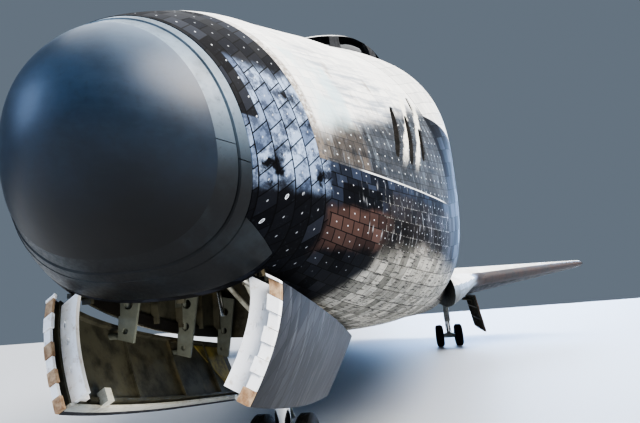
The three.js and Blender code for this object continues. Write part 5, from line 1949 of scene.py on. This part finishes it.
def wheel(station, port, height, radius, width, outwards, hub, rim_depth, dish, bolts):
    """A forged alloy wheel with a stepped rim, lightening holes, tie bolts and a hub cap."""
    rim, half = radius * 0.52 - 0.04, width * 0.4
    profile = [(hub, -half), (rim - 1.0, -half), (rim - 0.5, -half + 0.35), (rim, -half + 0.35),
               (rim, half - 0.35),
               (rim - 0.5, half - 0.35), (rim - 0.6, half), (rim - rim_depth, half),
               (rim - rim_depth, -half + dish),
               (rim - rim_depth - 0.8, -half + dish - 0.7), (hub * 1.9, -half + dish - 0.3),
               (hub * 1.7, -half + dish),
               (hub, half - 0.8)]
    way = (outwards, 0, 0)
    made = turned(profile, (port, station, height), way, 72)
    middle = (hub * 1.8 + rim - rim_depth) / 2
    holes = repeated(upright(0, 0, -half - 1, half, (rim - rim_depth - hub) * 0.17, 12), bolts,
                     radius=middle)
    made = cut(made, placed(holes, (port, station, height), way))
    face = (port + outwards * (-half + dish - 0.55), station, height)
    ties = repeated(turned([(0, 0), (0.42, 0), (0.42, 0.5), (0.2, 0.55), (0.2, 0.95), (0, 0.95)], (0, 0, 0),
                           (0, 0, 1), 6),
                    bolts, radius=hub * 1.9 + 0.5)
    placed(ties, face, way)
    return heap(made, ties)


def torque_links(port, foot, knee, top, apart, close, thick, thin):
    """The two hinged Vs behind a leg, which stop the axle from turning."""
    return [bar((port + way * apart, *a), (port + way * close, *b), thick, 16, thin)
            for a, b in ((foot, knee), (knee, top)) for way in (-1, 1)]


def make_main_gear():
    """The main gear: legs with their braces, brakes and lines, the twin wheels, and the doors fixed open."""
    station, port, radius = GEAR_STATION, GEAR_PORT, GEAR_RADIUS
    height = axle_height(station, radius)
    for name, side in SIDES:
        p = side * port
        body = f"main_wheels_{name}"
        for where, way in (("inner", -1), ("outer", 1)):
            q = p + way * side * GEAR_SPACING / 2
            rubber = tyre(station, q, height, radius, GEAR_WIDTH, 5)
            piece(rubber, f"main_tyre_{where}_{name}_rubber", "tyre_rubber", f"main_tyre_{where}_{name}",
                  body=body)
            forged = wheel(station, q, height, radius, GEAR_WIDTH, way * side, 3.3, 2.0, 4.0, 9)
            piece(forged, f"main_wheel_{where}_{name}_forging", "painted_wheel_alloy",
                  f"main_wheel_{where}_{name}", body=body)
        top = BAY_ROOF - GAP
        leg = join(
            upright(p, station, height, height + 34, 4, 32),
            turned([(0, 0), (4.7, 0), (5.6, 0.8), (5.6, 2.2), (0, 2.2)], (p, station, height + 29),
                   (0, 0, 1),
                   32),
            upright(p, station, height + 30, 303, 6, 40),
            box((station - 7, station + 7), (p - 26, p + 26), (298, top)),
            crossbar(p - 25.7, p + 25.7, station, height, 3, 32),
            crossbar(p - 10, p + 10, station, height, 4.6, 32),
            bar((p, station, height + 36), (p, station - 62, 302), 2.6),
            box((station - 68, station - 56), (p - 12, p + 12), (298, top)),
            turned([(0, 0), (6.9, 0), (6.9, 1.6), (0, 1.6)], (p, station, 289), (0, 0, 1), 40),
        )
        foot, knee = (station + 4, height + 2), (station + 14.5, height + 20)
        links = torque_links(p, foot, knee, (station + 5, height + 38), 3.6, 1.6, 1.3, 0.9)
        links += [crossbar(p - 3.8, p + 3.8, *foot, 1.1, 16), crossbar(p - 3.8, p + 3.8, *knee, 1.1, 16),
                  crossbar(p - 3, p + 3, *knee, 1.5, 16)]
        disc = [(3.1, 0), (7.4, 0), (7.6, 0.3), (7.4, 0.6), (3.1, 0.6)]
        brakes = [turned(disc, (p + way * (12.9 + k * 0.9), station, height), (way, 0, 0), 40)
                  for way in (-1, 1) for k in range(4)]
        route = ((5, 2, height + 3), (3.6, 7, height + 12), (3.2, 7.4, height + 26), (3.4, 7.2, height + 40),
                 (3, 6.6, 296))
        lines = [tube_along([(p + shift * x, station + y, h) for x, y, h in route], 0.42, 10)
                 for shift in (1.4, -1.4)]
        piece([leg, *links], f"main_gear_leg_{name}", "painted_gear_steel", f"main_gear_strut_{name}")
        piece(brakes, f"main_gear_brakes_{name}", "sooted_niobium")
        piece(lines, f"main_gear_lines_{name}", "tyre_rubber")
        chrome = upright(p, station, height + 8, height + 29, 4.12, 40)
        piece(chrome, f"main_gear_piston_{name}", "polished_piston")

        long = BAY_OUTER - BAY_INNER

        def face(s, depth, thick, over=0.0):
            high, low = 264.5 + over, 264.5 - long - over
            near, far = depth, depth + thick
            return sided(side, (182 + near, s, high), (182 + far, s, high), (193 + far, s, low),
                         (193 + near, s, low))
        door = loft([face(BAY_FROM + 1, 2.2, 1.8), face(BAY_TO - 1, 2.2, 1.8)])
        frames = []
        for k in range(7):
            s = BAY_FROM + 2 + k * (BAY_TO - BAY_FROM - 6) / 6
            frames.append(loft([face(s, 0, 2.25, -0.5), face(s + 2, 0, 2.25, -0.5)]))
        for low in (0, 0.33, 0.66, 0.97):
            drop_at = 264 - low * (long - 1)
            lean = 11 * low
            frames.append(loft([
                sided(side, *[(p + lean, s, drop_at - d) for p,
                              d in ((182, 0), (184.2, 0), (184.5, 2), (182.3, 2))])
                for s in (BAY_FROM + 2, BAY_TO - 2)
            ]))
        arms = []
        for s in (1084, 1128, 1184):
            inside = side * (BAY_OUTER - 2.8)
            arms += [upright(inside, s, 292, 257, 1.6, 20),
                     bar((inside, s, 258.4), (side * 184.4, s, 256), 1.6, 20),
                     box((s - 2.5, s + 2.5), (inside, side * (BAY_OUTER - GAP)), (280, 291))]
        piece(door, f"main_gear_door_skin_{name}", "browned_black_tile",
              f"main_gear_door_{name}", side_uv)
        piece([*frames, *arms], f"main_gear_door_frames_{name}", "well_primer", f"main_gear_door_{name}")
        ribs = []
        for s in range(BAY_FROM + 18, BAY_FROM + 119, 25):
            if abs(s - station) > 9 and abs(s - station + 62) > 8:
                ribs.append(box((s, s + 1.2), (side * (BAY_INNER + 0.1), side * (BAY_OUTER - 0.1)),
                                (BAY_ROOF - 6, BAY_ROOF - 0.05)))
        for s in (1075, 1110, 1145, 1188):
            ribs.append(box((s, s + 1.4), (side * (BAY_INNER + 0.05), side * (BAY_INNER + 3)),
                            (276, BAY_ROOF - 0.1)))
        lines = [tube_along([(side * (BAY_INNER + 6), BAY_FROM + 2, 306),
                             (side * (BAY_INNER + 7), 1100, 305),
                             (side * (BAY_INNER + 6), 1150, 306), (side * (BAY_INNER + 7), BAY_TO - 2, 305)],
                             0.5, 10)]
        piece([*ribs, *lines], f"main_well_frames_{name}", "well_primer")


NOSE_STATION, NOSE_RADIUS, NOSE_WIDTH, NOSE_SPACING = 378, 16, 8.8, 22


def make_nose_gear():
    """The nose gear: fixed leg, steered fork, twin wheels, steering jacks and lines."""
    station, radius = NOSE_STATION, NOSE_RADIUS
    height = axle_height(station, radius)
    turn = height + 26
    top = WELL_ROOF - GAP
    leg = join(
        upright(0, station, turn, 322, 4.6, 40),
        crossbar(-WELL_HALF + GAP, WELL_HALF - GAP, station, 318, 3.4, 32),
        box((station - 6, station + 6), (-9, 9), (314, top)),
        bar((0, station, turn + 22), (0, station - 58, 322), 2.4),
        box((station - 64, station - 52), (-10, 10), (319, top)),
        turned([(0, 0), (5.6, 0), (5.6, 2), (0, 2)], (0, station, turn + 0.1), (0, 0, 1), 40),
        turned([(0, 0), (5.4, 0), (5.4, 1.6), (0, 1.6)], (0, station, turn + 21), (0, 0, 1), 40),
    )
    extras = []
    for way in (-1, 1):
        extras.append(bar((way * 4, station - 4, turn + 8), (way * 7.5, station - 5, turn + 8), 1.9))
        extras.append(bar((way * 7.2, station - 8, turn + 8), (way * 7.2, station + 3, turn + 8), 1.5))
        extras.append(bar((way * 26, station - 30, 318), (way * 5, station, turn + 30), 1.2, 20))
    lines = [tube_along([(s * 3, station + 5, turn + 2), (s * 3.4, station + 5.6, turn + 14),
                         (s * 3, station + 5.2, turn + 26),
                         (s * 4, station + 5.8, 316)], 0.36, 10) for s in (-1, 1)]
    piece([leg, *extras], "nose_gear_leg", "painted_gear_steel", "nose_gear_strut")
    piece(lines, "nose_gear_lines", "tyre_rubber")
    fork = join(
        upright(0, station, height, turn - CLEAR, 3.6, 40),
        upright(0, station, turn - 5, turn - CLEAR, 5.4, 40),
        crossbar(-14.6, 14.6, station, height, 2, 32),
        crossbar(-6, 6, station, height, 3.6, 32),
    )
    knee = (station + 10, height + 12)
    links = torque_links(0, (station + 3, height + 2), knee, (station + 3, turn - 3), 2.4, 1.2, 0.95, 0.8)
    links.append(crossbar(-2.2, 2.2, *knee, 1.1, 16))
    eye = turned([(1.1, -0.5), (1.9, -0.5), (1.9, 0.5), (1.1, 0.5)], (0, station - 5.2, height + 4),
                 (1, 0, 0), 24)
    piece([fork, *links, eye], "nose_gear_fork_forging", "painted_gear_steel", "nose_gear_fork",
          body="nose_fork")
    chrome = upright(0, station, height + 6, turn - 5.3, 3.72, 40)
    piece(chrome, "nose_gear_piston", "polished_piston", body="nose_fork")
    for name, side in SIDES:
        p = side * NOSE_SPACING / 2
        piece(tyre(station, p, height, radius, NOSE_WIDTH, 4), f"nose_tyre_{name}_rubber", "tyre_rubber",
              f"nose_tyre_{name}", body="nose_wheels")
        forged = wheel(station, p, height, radius, NOSE_WIDTH, side, 2.2, 1.4, 2.5, 8)
        piece(forged, f"nose_wheel_{name}_forging", "painted_wheel_alloy", f"nose_wheel_{name}",
              body="nose_wheels")


NOSE_DOOR_FRONT, NOSE_DOOR_REAR = (30, 274, 302), (30, 386, 276.6)
NOSE_DOOR_OPEN, NOSE_DOOR_OUT, NOSE_DOOR_DOWN = 62, 5.5, 3.4
NOSE_ARMS = ((300, 287), (338, 276.5), (376, 271))


def opened(made, side):
    """Swings a shape from its shut place in the nose door to where the open door stands."""
    start, end = (Vector((side * p, s, h)) for p, s, h in (NOSE_DOOR_FRONT, NOSE_DOOR_REAR))
    turn = Matrix.Rotation(math.radians(-side * NOSE_DOOR_OPEN), 4, (end - start).normalized())
    move = Matrix.Translation((start.x + side * NOSE_DOOR_OUT, start.y, start.z - NOSE_DOOR_DOWN))
    made.data.transform(move @ turn @ Matrix.Translation(-start))
    return made


def make_nose_doors():
    """The nose gear doors, fixed open: tiled outside, with edge seals, frames and arms inside."""
    stations = [WELL_FROM - 2, 276, 279, 283, 288, 294, 301, 309, 318, 330, 345, 360, 375, WELL_TO + 4]
    edge = WELL_HALF - 0.5
    rear = WELL_TO - 2
    for name, side in SIDES:
        def leaf(s0, s1, p0, p1):
            return box((s0, s1), (side * p0, side * p1), (230, 330))

        def layer(low, high, *area):
            return common(cut(body_loft(stations, low, 32), body_loft(stations, high, 32)), leaf(*area))

        skin = layer(0, 1.7, WELL_FROM, rear, 0.3, edge)
        paint_uv(skin.data, body_uv)
        piece(opened(skin, side), f"nose_door_tiles_{name}", "worn_door_tile", f"nose_gear_door_{name}")
        pan = layer(1.72, 3.4, WELL_FROM + 1.2, rear - 1, 1.2, edge - 1)
        parts = [pan]
        for s in (WELL_FROM + 34, WELL_FROM + 62, WELL_FROM + 90):
            parts.append(layer(3.3, 4.6, s, s + 0.7, 2, edge - 2))
        for p in (2, edge - 3.2):
            parts.append(layer(3.3, 4.8, WELL_FROM + 9, rear - 4, p, p + 1.2))
        for made in parts:
            opened(made, side)
        piece(parts, f"nose_door_frames_{name}", "well_primer", f"nose_gear_door_{name}")
        doubler = cut(layer(3.42, 3.9, rear - 34, rear - 6, 4, edge - 4),
                      solid(sided(side, *[(p, rear - s, h) for h in (200, 340) for p,
                                          s in ((4, 36), (4, 10), (34, 36))]),
                            [(0, 2, 1), (3, 4, 5), (0, 1, 4, 3), (1, 2, 5, 4), (2, 0, 3, 5)]))
        piece(opened(doubler, side), f"nose_door_doubler_{name}", "chromate_primer")
        strips = [[], []]
        for k, p in enumerate(np.arange(0.4, edge - 0.5, 3.62)):
            deep = (2.9, 2.4, 3.0, 2.6)[k % 4]
            block = layer(0.05, deep, WELL_FROM - (1.6, 1.3)[k % 2], WELL_FROM - 0.1, p, min(p + 3.5, edge))
            tan = k in ((0, 2, 4, 7) if side < 0 else (0, 7))
            strips[tan].append(opened(block, side))
        white, tan = (heap(*group) for group in strips)
        piece(white, f"nose_door_front_seal_{name}", "white_edge_blanket")
        piece(tan, f"nose_door_front_seal_worn_{name}", "tan_edge_blanket")
        plank = layer(3.5, 9.2, WELL_FROM + 2.0, WELL_FROM + 3.7, 1.5, edge - 2)
        for p, low in ((9, 5.2), (16.5, 5.8), (21.5, 5.0)):
            plank = cut(plank, layer(low, low + 1.1, WELL_FROM + 1.5, WELL_FROM + 2.5, p, p + 1.6))
        bolster = opened(layer(3.4, 5.0, WELL_FROM + 3.9, WELL_FROM + 8.5, 2.5, edge - 3), side)
        piece([opened(plank, side), bolster], f"nose_door_inner_seal_{name}", "white_edge_blanket")
        lip = opened(layer(1.72, 4.4, WELL_FROM + 0.2, rear - 0.2, 0.3, 1.15), side)
        stop = opened(layer(4.4, 7.6, WELL_FROM + 13, WELL_FROM + 16, 0.6, 4.6), side)
        piece([lip, stop], f"nose_door_foot_rail_{name}", "painted_gear_steel")
        arms = []
        for s, elbow in NOSE_ARMS:
            plate = slab([(side * p, s - 0.6, elbow + h) for p,
                          h in ((20, 25), (28.6, 27), (30.2, -1), (24.5, -2.5))], 0, 1.2)
            plate = cut(plate, *[bar((side * p, s - 4, elbow + h), (side * p, s + 4, elbow + h), r)
                                 for p, h, r in ((27.4, 1.6, 1.0), (26.2, 10, 1.6), (25.4, 19, 1.9))])
            arms += [plate, upright(side * 27.6, s, elbow + 27, elbow - 0.9, 1.1, 20),
                     box((s - 2, s + 2), (side * 27.6, side * (WELL_HALF - GAP)), (elbow + 18, elbow + 25)),
                     common(crossbar(side * 27, side * 50, s, elbow, 1.1, 20),
                            opened(common(body_loft(stations, 3.0, 24), leaf(WELL_FROM, rear, 0.3, edge)),
                                   side))]
        piece(arms, f"nose_door_arms_{name}", "grey_green_enamel", f"nose_gear_door_{name}")


def make_nose_well():
    """Frames, brackets, tubes and lines inside the nose gear well."""
    parts = []
    roof = WELL_ROOF - 0.05
    for s in (282, 300, 318, 336, 354, 372, 384):
        parts.append(box((s, s + 1.2), (-WELL_HALF + 0.1, WELL_HALF - 0.1), (roof - 4.5, roof)))
        for side in (-1, 1):
            low = max(float(body_row(s)[3]) + 4, 282)
            parts.append(box((s, s + 1.2), (side * (WELL_HALF - 0.1), side * (WELL_HALF - 3.2)),
                             (low, roof)))
    for side in (-1, 1):
        for h in (300, 312):
            parts.append(box((276, 386), (side * (WELL_HALF - 0.1), side * (WELL_HALF - 1.6)), (h, h + 1.4)))
        for station, high, low, ports in ((312, 324, 296, (9, 12, 20, 17)),
                                          (290, 322, 300, (14, 22, 20, 15))):
            parts.append(loft([
                sided(side, *zip(ports, (s, s, s + 6, s + 6), (high, high, low, low)))
                for s in (station, station + 1.4)
            ]))
    piece(parts, "nose_well_frames", "well_primer")
    tubes = [
        tube_along([(18, 279, 316), (17, 286, 306), (21, 294, 300), (24, 306, 302), (26, 322, 310)], 1.9,
                   20),
        tube_along([(-16, 279, 318), (-18, 292, 312), (-22, 310, 313), (-25, 340, 316)], 1.3, 16),
    ]
    piece(tubes, "nose_well_ducts", "bare_alloy")
    bright = tube_along([(-5, 300, 301), (-1, 299.5, 304), (3.5, 298.5, 303), (6.3, 297, 299.5),
                         (7.2, 296.6, 295.4),
                         (8, 296.2, 291)], 0.75, 20)
    piece(bright, "nose_well_bright_tube", "polished_piston")
    rims = []
    for side in (-1, 1):
        rows = []
        for s in np.linspace(275, 387, 15):
            width, widest, _, bottom, _, square = (float(v) for v in body_row(s))
            low = widest - (widest - bottom) * (1 - (WELL_HALF / width) ** square) ** (1 / square)
            rows.append(sided(side, *[(p, s, low + h) for p,
                                      h in ((30.4, 0.3), (29.2, 0.3), (29.2, 4.2), (30.4, 4.2))]))
        rims.append(loft(rows))
    piece(rims, "nose_well_rim", "browned_black_tile")
    lines = []
    for k, p in enumerate((-27, -25.4, 24.6, 26.4, -6, 7)):
        lines.append(tube_along([(p, 276, 320 - k), (p + 1, 300, 319 - k % 3), (p - 1, 340, 320 - k % 2),
                                 (p, 386, 319)], 0.32, 8))
    piece(lines, "nose_well_lines", "tyre_rubber")


# Stage

# The photograph's camera: focal length and width in its pixels, place in metres, turn in degrees
FOCAL, PHOTO_WIDTH, SENSOR = 440.6, 640, 36.0
CAMERA_PLACE, CAMERA_TURN = (1.675, -19.955, 1.885), (10.64, 13.75, -4.26)
FLOOR_HALF = 900


def make_stage():
    scene = bpy.context.scene
    view = bpy.data.cameras.new("camera")
    view.sensor_width = SENSOR
    view.lens = FOCAL / PHOTO_WIDTH * SENSOR
    view.clip_end = 400.0
    camera = linked("camera", view)
    yaw, pitch, roll = (math.radians(v) for v in CAMERA_TURN)
    ahead = Vector((-math.sin(yaw) * math.cos(pitch), math.cos(yaw) * math.cos(pitch), math.sin(pitch)))
    right = Vector((math.cos(yaw), math.sin(yaw), 0))
    up = right.cross(ahead)
    across = right * math.cos(roll) + up * math.sin(roll)
    above = up * math.cos(roll) - right * math.sin(roll)
    turn = Matrix((across, above, -ahead)).transposed().to_4x4()
    camera.matrix_world = Matrix.Translation(CAMERA_PLACE) @ turn
    scene.camera = camera

    corners = [(x * FLOOR_HALF, y * FLOOR_HALF, 0) for x, y in ((-1, -1), (1, -1), (1, 1), (-1, 1))]
    floor = solid(corners, [(0, 1, 2, 3)])
    floor.name = floor.data.name = "floor"
    material = bpy.data.materials.new("pale_floor")
    material.use_nodes = True
    material.node_tree.nodes["Principled BSDF"].inputs["Base Color"].default_value = chosen("floor")
    material.node_tree.nodes["Principled BSDF"].inputs["Roughness"].default_value = 0.6
    floor.data.materials.append(material)

    scene.view_settings.look = "AgX - High Contrast"
    world = bpy.data.worlds.new("soft_room")
    scene.world = world
    world.use_nodes = True
    world.node_tree.nodes["Background"].inputs[0].default_value = colour("6f7984")
    world.node_tree.nodes["Background"].inputs[1].default_value = 0.9
    for name, kind, place_at, aim, size, energy, tone in (
        ("key", "SUN", (17, -20, 24), (0, -12, 4), 0.65, 5.6, "fff9f2"),
        ("top", "SUN", (2, 6, 30), (0, 0, 0), 1.4, 2.0, "ffffff"),
        ("left_fill", "AREA", (-17, -27, 10), (0, -15, 3), 10, 1700, "b5d2ff"),
        ("port_sheen", "SUN", (9, 40, 8), (0, 0, 0), 0.6, 5.0, "b4d3ff"),
        ("well_fill", "AREA", (0.1, -17.0, 1.3), (-0.1, -15.3, 1.9), 0.5, 20, "fff1dc"),
    ):
        lamp = bpy.data.lights.new(name, kind)
        if kind == "SUN":
            lamp.angle = size
        else:
            lamp.size = size
        lamp.energy, lamp.color = energy, colour(tone)[:3]
        holder = linked(name, lamp)
        holder.visible_camera = False
        holder.location = place_at
        holder.rotation_euler = (Vector(aim) - Vector(place_at)).to_track_quat("-Z", "Y").to_euler()


def dress_nodes():
    """Gives the CAD's nodes that still show, which is the flight deck behind the panes, their finish."""
    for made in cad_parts.values():
        if not made.hide_render:
            made.data.materials.clear()
            made.data.materials.append(MATERIALS["grey_green_enamel"]())


class SpaceplaneSizes(bpy.types.PropertyGroup):
    """Sizes that a user would change."""
    dome_edge: FloatProperty(
        name="Dome edge", description="From the nose tip to the dome's joint with its first ring",
        default=14.6 * INCH, min=12 * INCH, max=16 * INCH, unit="LENGTH",
    )
    seal_joint: FloatProperty(
        name="Ring joint", description="From the nose tip to the joint between the two rings",
        default=19.0 * INCH, min=17 * INCH, max=21 * INCH, unit="LENGTH",
    )
    black_tile: FloatProperty(
        name="Black tile", description="Side of a black tile", default=0.152, min=0.05, max=0.4,
        unit="LENGTH",
    )
    white_tile: FloatProperty(
        name="White tile", description="Side of a white tile", default=0.203, min=0.05, max=0.4,
        unit="LENGTH",
    )
    tile_gap: FloatProperty(
        name="Tile gap", description="Gap between tiles, drawn wide so that it shows",
        default=0.010, min=0.001, max=0.03, unit="LENGTH",
    )
    edge_panels: IntProperty(
        name="Leading edge panels", description="Carbon panels along each wing", default=22, min=8, max=40,
    )
    bell_tubes: IntProperty(
        name="Nozzle tubes", description="Cooling tubes drawn round each main engine", default=120, min=40,
        max=200,
    )


def paint(label, text, tip):
    """A colour that a user may change."""
    return FloatVectorProperty(
        name=label, description=tip, subtype="COLOR", size=3, min=0.0, max=1.0, default=colour(text)[:3]
    )


class SpaceplaneColours(bpy.types.PropertyGroup):
    """Colours that a user would change."""
    dome: paint("Dome", "1a2a3b", "Coated carbon of the nose dome")
    edge: paint("Leading edge", "36393f", "Weathered carbon of the leading edges")
    black_tile: paint("Black tile", "1d1f23", "Black tile of the belly and wings")
    nose_tile: paint("Nose tile", "0f1014", "Scorched tile of the nose and cabin sides")
    blanket: paint("Blanket", "d6d6d2", "Quilted blanket of the doors and pods")
    gear: paint("Gear paint", "b4b8b4", "Paint of the landing gear")
    wheel: paint("Wheel paint", "a6aaa8", "Paint of the wheels")
    floor: paint("Floor", "a9abad", "The floor")


class MakeStage(bpy.types.Operator):
    """Makes the pale floor, the soft lights and the camera at the photograph's angle"""
    bl_idname = "spaceplane.stage"
    bl_label = "Floor, lights and camera"

    def execute(self, context):
        make_stage()
        return {"FINISHED"}


class MakeNoseCap(bpy.types.Operator):
    """Makes the carbon dome, its two seal rings and the chin panel"""
    bl_idname = "spaceplane.nose_cap"
    bl_label = "Nose cap"

    def execute(self, context):
        make_cap(context.scene.spaceplane_sizes)
        return {"FINISHED"}


class MakeThrusterModule(bpy.types.Operator):
    """Makes the tiled thruster module with its mouths and liners"""
    bl_idname = "spaceplane.thruster_module"
    bl_label = "Forward thruster module"

    def execute(self, context):
        make_module()
        return {"FINISHED"}


class MakeForwardSkin(bpy.types.Operator):
    """Makes the tiled shell of the forward fuselage and its window surrounds"""
    bl_idname = "spaceplane.forward_skin"
    bl_label = "Forward fuselage skin"

    def execute(self, context):
        make_skin()
        return {"FINISHED"}


class MakeWindows(bpy.types.Operator):
    """Makes the cabin panes and their gaskets"""
    bl_idname = "spaceplane.windows"
    bl_label = "Cabin windows"

    def execute(self, context):
        make_windows()
        return {"FINISHED"}


class MakeCrewHatch(bpy.types.Operator):
    """Makes the round side hatch with its window"""
    bl_idname = "spaceplane.crew_hatch"
    bl_label = "Crew hatch"

    def execute(self, context):
        make_hatch()
        return {"FINISHED"}


class MakeLoadBay(bpy.types.Operator):
    """Makes the middle of the body and the bay's liner, frames and longerons"""
    bl_idname = "spaceplane.load_bay"
    bl_label = "Load bay"

    def execute(self, context):
        make_bay()
        return {"FINISHED"}


class MakeBayDoors(bpy.types.Operator):
    """Makes the two clamshell doors with their hinges, frames and radiators"""
    bl_idname = "spaceplane.bay_doors"
    bl_label = "Load bay doors"

    def execute(self, context):
        make_bay_doors()
        return {"FINISHED"}


class MakeAftBody(bpy.types.Operator):
    """Makes the aft body, the base shield and the body flap"""
    bl_idname = "spaceplane.aft_body"
    bl_label = "Aft fuselage"

    def execute(self, context):
        make_tail()
        return {"FINISHED"}


class MakeEngines(bpy.types.Operator):
    """Makes the three main engines with their cooling tubes and hoops"""
    bl_idname = "spaceplane.engines"
    bl_label = "Main engines"

    def execute(self, context):
        make_engines(context.scene.spaceplane_sizes)
        return {"FINISHED"}


class MakePods(bpy.types.Operator):
    """Makes the two manoeuvring pods with their nozzles and thrusters"""
    bl_idname = "spaceplane.pods"
    bl_label = "Manoeuvring pods"

    def execute(self, context):
        make_pods()
        return {"FINISHED"}


class MakeWings(bpy.types.Operator):
    """Makes the wings and their gear wells"""
    bl_idname = "spaceplane.wings"
    bl_label = "Wings"

    def execute(self, context):
        make_wings()
        return {"FINISHED"}


class MakeLeadingEdges(bpy.types.Operator):
    """Makes the carbon panels of the wings' leading edges"""
    bl_idname = "spaceplane.leading_edges"
    bl_label = "Leading edges"

    def execute(self, context):
        make_edges(context.scene.spaceplane_sizes)
        return {"FINISHED"}


class MakeElevons(bpy.types.Operator):
    """Makes the four elevons"""
    bl_idname = "spaceplane.elevons"
    bl_label = "Elevons"

    def execute(self, context):
        make_elevons()
        return {"FINISHED"}


class MakeFin(bpy.types.Operator):
    """Makes the fin and the two rudder panels"""
    bl_idname = "spaceplane.fin"
    bl_label = "Fin and rudder"

    def execute(self, context):
        make_fin()
        return {"FINISHED"}


class MakeMainGear(bpy.types.Operator):
    """Makes the main gear legs, wheels, tyres, doors and wells"""
    bl_idname = "spaceplane.main_gear"
    bl_label = "Main gear"

    def execute(self, context):
        make_main_gear()
        return {"FINISHED"}


class MakeNoseGear(bpy.types.Operator):
    """Makes the nose gear leg, fork, wheels and tyres"""
    bl_idname = "spaceplane.nose_gear"
    bl_label = "Nose gear"

    def execute(self, context):
        make_nose_gear()
        return {"FINISHED"}


class MakeNoseDoors(bpy.types.Operator):
    """Makes the open nose gear doors and what shows in their well"""
    bl_idname = "spaceplane.nose_doors"
    bl_label = "Nose gear doors"

    def execute(self, context):
        make_nose_doors()
        make_nose_well()
        return {"FINISHED"}


class MakeRest(bpy.types.Operator):
    """Gives every CAD solid that still shows its own finish"""
    bl_idname = "spaceplane.rest"
    bl_label = "Remaining finishes"

    def execute(self, context):
        dress_nodes()
        return {"FINISHED"}


MAKERS = (
    MakeStage, MakeNoseCap, MakeThrusterModule, MakeForwardSkin, MakeWindows, MakeCrewHatch, MakeLoadBay,
    MakeBayDoors, MakeAftBody, MakeEngines, MakePods, MakeWings, MakeLeadingEdges, MakeElevons, MakeFin,
    MakeMainGear, MakeNoseGear, MakeNoseDoors, MakeRest,
)


class SpaceplanePanel(bpy.types.Panel):
    """Lists the sizes, the colours and the makers."""
    bl_idname = "VIEW3D_PT_spaceplane"
    bl_label = "Parked spaceplane"
    bl_space_type = "VIEW_3D"
    bl_region_type = "UI"
    bl_category = "Spaceplane"

    def draw(self, context):
        for group in (context.scene.spaceplane_sizes, context.scene.spaceplane_colours):
            column = self.layout.column(align=True)
            for name in group.bl_rna.properties.keys():
                if name not in ("rna_type", "name"):
                    column.prop(group, name)
        for maker in MAKERS:
            self.layout.operator(maker.bl_idname)


CLASSES = (SpaceplaneSizes, SpaceplaneColours, *MAKERS, SpaceplanePanel)


def register():
    for each in CLASSES:
        bpy.utils.register_class(each)
    bpy.types.Scene.spaceplane_sizes = PointerProperty(type=SpaceplaneSizes)
    bpy.types.Scene.spaceplane_colours = PointerProperty(type=SpaceplaneColours)


def unregister():
    del bpy.types.Scene.spaceplane_colours
    del bpy.types.Scene.spaceplane_sizes
    for each in reversed(CLASSES):
        bpy.utils.unregister_class(each)


def main():
    register()
    for maker in MAKERS:
        getattr(bpy.ops.spaceplane, maker.bl_idname.split(".")[1])()
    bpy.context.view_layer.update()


if __name__ == "__main__":
    main()
